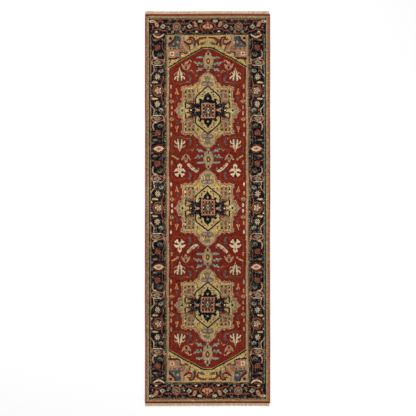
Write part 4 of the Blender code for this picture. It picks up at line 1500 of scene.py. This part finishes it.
def build_cord(node, name, plies, lay):
    """A plied cotton cord that fills the long box of its node."""
    low, high = box_mm(node)
    middle = [(a + b) / 2 for a, b in zip(low, high)]
    axis = 0 if high[0] - low[0] > high[1] - low[1] else 1
    start, end = list(middle), list(middle)
    start[axis], end[axis] = low[axis] + 0.5, high[axis] - 0.5
    radius = (high[2] - low[2]) / 2
    return join_tubes(name, twisted_cord(start, end, radius, lay, plies, lay / 8))


WARP_PITCH = 3.0  # mm between warp pairs of a kilim band
WEFT_PITCH = 1.7  # mm between its weft ribs


def build_kilim(node, rng):
    """Flat-woven end: weft ribs that run across, bound over pairs of warps."""
    low, high = box_mm(node)
    x = np.linspace(low[0], high[0], int((high[0] - low[0]) / WARP_PITCH * 2) + 1)
    y = np.linspace(low[1], high[1], int((high[1] - low[1]) / WEFT_PITCH * 4) + 1)
    across, along = np.meshgrid(x, y)
    half_turns = math.pi * (along - low[1]) / WEFT_PITCH
    rib = np.cos(2 * half_turns)
    over_and_under = np.where(np.arange(len(x)) % 2, -1.0, 1.0)
    dip = over_and_under[None, :] * np.sign(np.sin(half_turns))
    top = high[2] - 0.35 + 0.2 * rib + 0.08 * dip + rng.normal(0, 0.03, across.shape)
    under = low[2] + 0.3 - 0.2 * rib
    n, m = len(y), len(x)
    points = np.concatenate([np.stack([across, along, z], 2).reshape(-1, 3) for z in (top, under)])
    ids = np.arange(n * m).reshape(n, m)
    quads = np.stack([ids[:-1, :-1], ids[:-1, 1:], ids[1:, 1:], ids[1:, :-1]], 2).reshape(-1, 4)
    rim = np.concatenate([ids[0, :-1], ids[:-1, -1], ids[-1, :0:-1], ids[:0:-1, 0]])
    after = np.roll(rim, -1)
    wall = np.stack([rim, rim + n * m, after + n * m, after], 1)
    return build_mesh(node + "_weave", points, [np.concatenate([quads, quads[:, ::-1] + n * m, wall])])


FRINGE_SPLAY = 2.3  # mm by which the loose tips reach past the tassels' even edge
THREAD_PITCH = 2.1  # mm between the fringe's threads
THREAD_STEPS = 9  # rings along a thread


def build_fringe(node, rng):
    """Short cut warps, each a plied cotton thread that splays a little."""
    low, high = box_mm(node)
    if high[1] > 0:
        root, tip = low[1], high[1] + FRINGE_SPLAY
    else:
        root, tip = high[1], low[1] - FRINGE_SPLAY
    tubes, colours = [], []
    clean, dusty = linear(CLEAN_COTTON), linear(DUSTY_COTTON)
    t = np.linspace(0.0, 1.0, THREAD_STEPS)
    for number in range(int((high[0] - low[0] - 3) / THREAD_PITCH)):
        x = low[0] + 2.0 + THREAD_PITCH * number + rng.normal(0, 0.3)
        reach = 1.0 - 0.03 * rng.random() - 0.12 * (rng.random() < 0.06)
        length = (tip - root) * reach
        splay = rng.normal(0, 1.3)
        bend = rng.normal(0, 0.5)
        px = x + splay * t**1.5 + bend * np.sin(3.0 * t)
        py = root + length * t
        pz = 1.35 + 0.2 * np.sin(6 * t + rng.random() * 6) - 0.1 * t
        thickness = 1.0 + 0.25 * t - 0.25 * t**6
        shade = clean + (dusty - clean) * (0.25 + 0.5 * rng.random())
        for ply in range(2):
            angle = 5.0 * math.pi * t + math.pi * ply + number
            path = np.stack([px + 0.45 * np.cos(angle), py, pz + 0.3 * np.sin(angle)], 1)
            tubes.append(sweep(path, np.stack([0.68 * thickness, 0.5 * thickness], 1), sides=5))
            colours.append(shade * (0.9 + 0.15 * rng.random()))
    return join_tubes(node + "_warps", tubes, colours)


# ---------------------------------------------------------------- materials

EVEN = (1.0, 1.0, 1.0)  # noise that isn't stretched


def new_material(name):
    material = bpy.data.materials.new(name)
    material.use_nodes = True
    tree = material.node_tree
    return material, tree, tree.nodes["Principled BSDF"]


def set_inputs(made, values):
    for name, value in values.items():
        made.inputs[name].default_value = value


def stretched_noise(tree, scale, stretch, detail=3.0):
    """Noise in the object's own coordinates, stretched along its axes."""
    place_in = tree.nodes.new("ShaderNodeTexCoord")
    mapping = tree.nodes.new("ShaderNodeMapping")
    set_inputs(mapping, {"Scale": stretch})
    tree.links.new(place_in.outputs["Object"], mapping.inputs["Vector"])
    noise = tree.nodes.new("ShaderNodeTexNoise")
    set_inputs(noise, {"Scale": scale, "Detail": detail})
    tree.links.new(mapping.outputs["Vector"], noise.inputs["Vector"])
    return noise


def varied(tree, colour_socket, noise, low, high):
    """The colour times a factor that the noise moves between low and high."""
    span = tree.nodes.new("ShaderNodeMapRange")
    set_inputs(span, {"From Min": 0.3, "From Max": 0.7, "To Min": low, "To Max": high})
    tree.links.new(noise.outputs["Fac"], span.inputs["Value"])
    scaled = tree.nodes.new("ShaderNodeVectorMath")
    scaled.operation = "SCALE"
    tree.links.new(colour_socket, scaled.inputs[0])
    tree.links.new(span.outputs["Result"], scaled.inputs["Scale"])
    return scaled.outputs["Vector"]


def add_bump(tree, shader, height_socket, strength, distance):
    bump = tree.nodes.new("ShaderNodeBump")
    set_inputs(bump, {"Strength": strength, "Distance": distance})
    tree.links.new(height_socket, bump.inputs["Height"])
    tree.links.new(bump.outputs["Normal"], shader.inputs["Normal"])


def yarn_material(name, fibre_scale, streaks, sheen, rough):
    """Yarn whose colour is knotted in: abrash streaks, worn patches, fibre ends and a soft sheen."""
    material, tree, shader = new_material(name)
    yarn = tree.nodes.new("ShaderNodeAttribute")
    yarn.attribute_name = "yarn"
    abrash = stretched_noise(tree, 9.0, (0.25, 4.0, 1.0))
    worn = stretched_noise(tree, 5.0, EVEN, 4.0)
    fibres = stretched_noise(tree, fibre_scale, EVEN, 2.0)
    colour = varied(tree, yarn.outputs["Color"], abrash, 1.0 - streaks, 1.0 + streaks)
    colour = varied(tree, colour, worn, 0.95, 1.06)
    colour = varied(tree, colour, fibres, 0.86, 1.14)
    tree.links.new(colour, shader.inputs["Base Color"])
    roughness = tree.nodes.new("ShaderNodeMapRange")
    set_inputs(roughness, {"To Min": rough - 0.06, "To Max": rough + 0.06})
    tree.links.new(worn.outputs["Fac"], roughness.inputs["Value"])
    tree.links.new(roughness.outputs["Result"], shader.inputs["Roughness"])
    set_inputs(shader, {"Sheen Weight": sheen, "Sheen Roughness": 0.5, "Sheen Tint": (1.0, 0.96, 0.9, 1.0),
                        "Specular IOR Level": 0.06})
    add_bump(tree, shader, fibres.outputs["Fac"], 0.5, 0.0006)
    return material


def dyed_material(name, colour, dark_share, fibre_scale, stretch, sheen):
    """Yarn of one dye, with lighter and darker turns and fine fibres along it."""
    material, tree, shader = new_material(name)
    light = linear(colour)
    turns = stretched_noise(tree, 60.0, stretch)
    drift = stretched_noise(tree, 4.0, EVEN)
    fibres = stretched_noise(tree, fibre_scale, stretch, 2.0)
    mix = tree.nodes.new("ShaderNodeMix")
    mix.data_type = "RGBA"
    sockets = [s for s in mix.inputs if s.type == "RGBA"]
    sockets[0].default_value = (*light, 1.0)
    sockets[1].default_value = (*(light * dark_share), 1.0)
    tree.links.new(turns.outputs["Fac"], mix.inputs["Factor"])
    mixed = [s for s in mix.outputs if s.type == "RGBA"][0]
    colour_out = varied(tree, mixed, drift, 0.88, 1.1)
    colour_out = varied(tree, colour_out, fibres, 0.88, 1.12)
    tree.links.new(colour_out, shader.inputs["Base Color"])
    set_inputs(shader, {"Roughness": 0.88, "Sheen Weight": sheen, "Sheen Roughness": 0.5,
                        "Specular IOR Level": 0.06})
    add_bump(tree, shader, fibres.outputs["Fac"], 0.4, 0.0004)
    return material


# ---------------------------------------------------------------- rug

PILE_KINDS = ("field", "spandrel", "pole_palmette", "medallion_ground", "medallion_lozenge",
              "medallion_square", "inner_guard", "main_border", "outer_guard")
SIDES = ("far", "middle", "near")


def read_areas():
    """Centres and half sizes of the design areas, in mm, from the frame."""
    areas = {
        "medallion_" + part: {side: centre_and_half(f"medallion_{part}_pile_{side}") for side in SIDES}
        for part in ("ground", "lozenge", "square")
    }
    areas["pole_palmette"] = [centre_and_half(f"pole_palmette_pile_{n}") for n in (1, 2, 3, 4)]
    return areas


def read_bands():
    """Where each band ends, in mm from the middle of the rug."""
    outer, border = box_mm("outer_guard_pile_far")[1], box_mm("main_border_pile_far")[1]
    guard, field = box_mm("inner_guard_pile_far")[1], box_mm("spandrel_pile_far")[1]
    names = ("pile", outer), ("border", border), ("guard", guard), ("field", field)
    return {f"{name}_{axis}": round(high[k], 1) for name, high in names for k, axis in enumerate("xy")}


def build_pile_pieces(loom, areas, bands, colours, rng):
    """One piece for each pile node. Nodes of one kind share a material."""
    relief = pile_relief(loom, rng)
    materials = {kind: yarn_material(kind + "_wool", 900.0, 0.07, 0.03, 0.88) for kind in PILE_KINDS}
    made = []
    for name, mask in zone_masks(loom, areas, bands).items():
        kind = name.split("_pile")[0]
        piece = build_pile(loom, mask, name + "_knots", relief, colours, rng)
        made.append(place(piece, name, materials[kind]))
    return made


def build_edges(rng):
    """The selvedges with their cores, the kilim bands, the lock cords and the fringes."""
    wrap = dyed_material("selvedge_wool", SELVEDGE_RED, 0.8, 700.0, (1.0, 4.0, 1.0), 0.05)
    core = dyed_material("selvedge_core_cotton", SELVEDGE_CORE_COTTON, 0.85, 500.0, EVEN, 0.1)
    kilim = dyed_material("kilim_wool", KILIM_RED, 0.8, 700.0, (1.0, 5.0, 1.0), 0.04)
    cord = dyed_material("lock_cord_cotton", LOCK_CORD_BROWN, 0.75, 600.0, EVEN, 0.04)
    threads = yarn_material("fringe_cotton", 1400.0, 0.03, 0.04, 0.9)
    made = []
    for side in ("left", "right"):
        turns = build_selvedge("selvedge_wrap_" + side, rng)
        made.append(place(turns, "selvedge_wrap_" + side, wrap))
        inner = build_cord("selvedge_core_" + side, f"selvedge_core_{side}_cord", 3, 12.0)
        made.append(place(inner, "selvedge_core_" + side, core))
    for end in ("far", "near"):
        band = build_kilim("kilim_band_" + end, rng)
        made.append(place(band, "kilim_band_" + end, kilim))
        lock = build_cord("lock_cord_" + end, f"lock_cord_{end}_twist", 2, 6.0)
        made.append(place(lock, "lock_cord_" + end, cord))
        fringe = build_fringe("fringe_" + end, rng)
        made.append(place(fringe, "fringe_" + end, threads))
    return made


def build_rug():
    """Knots the design, builds every piece of the rug and lays its foundation on the floor."""
    rng = np.random.default_rng(7)
    areas, bands = read_areas(), read_bands()
    loom = Loom(bands["pile_x"], bands["pile_y"])
    paint_rug(loom, bands, areas, rng)
    colours = knot_colours(loom, rng)
    pieces = build_pile_pieces(loom, areas, bands, colours, rng) + build_edges(rng)
    sheet = build_foundation(loom, colours)
    cloth = yarn_material("foundation_cotton", 800.0, 0.03, 0.05, 0.92)
    place(sheet, "foundation", cloth)


# ---------------------------------------------------------------- studio

FLOOR_REACH = 12.0  # m from the middle to the floor's edges
CAMERA_PLACE = (0.0031, 0.0037, 6.134)  # straight above the rug


def build_floor():
    """Plain matt white floor."""
    mesh = bpy.data.meshes.new("floor")
    corners = [(x * FLOOR_REACH, y * FLOOR_REACH, 0) for x, y in ((-1, -1), (1, -1), (1, 1), (-1, 1))]
    mesh.from_pydata(corners, [], [(0, 1, 2, 3)])
    floor = bpy.data.objects.new("floor", mesh)
    bpy.context.scene.collection.objects.link(floor)
    material, _, shader = new_material("floor_paint")
    set_inputs(shader, {"Base Color": (0.99, 0.99, 0.99, 1.0), "Roughness": 1.0, "Specular IOR Level": 0.0})
    mesh.materials.append(material)


def build_light():
    """Even white surroundings and two soft lamps."""
    scene = bpy.context.scene
    scene.view_settings.view_transform = "Standard"
    world = bpy.data.worlds.new("studio")
    world.use_nodes = True
    set_inputs(world.node_tree.nodes["Background"], {"Color": (1.0, 1.0, 1.0, 1.0), "Strength": 0.52})
    scene.world = world
    for name, spot, size, power in (
        ("key", (-2.6, 2.2, 4.2), 3.5, 145.0),
        ("fill", (3.0, -2.0, 4.0), 4.0, 86.0),
    ):
        light = bpy.data.lights.new(name, "AREA")
        light.shape = "DISK"
        light.size = size
        light.energy = power
        made = bpy.data.objects.new(name, light)
        made.location = spot
        made.rotation_euler = (-made.location).to_track_quat("-Z", "Y").to_euler()
        scene.collection.objects.link(made)


def build_camera():
    """Camera that looks straight down."""
    camera = bpy.data.cameras.new("camera")
    camera.lens = 85.0
    camera.sensor_width = 36.0
    made = bpy.data.objects.new("camera", camera)
    made.location = CAMERA_PLACE
    bpy.context.scene.collection.objects.link(made)
    bpy.context.scene.camera = made


build_floor()
build_rug()
build_light()
build_camera()
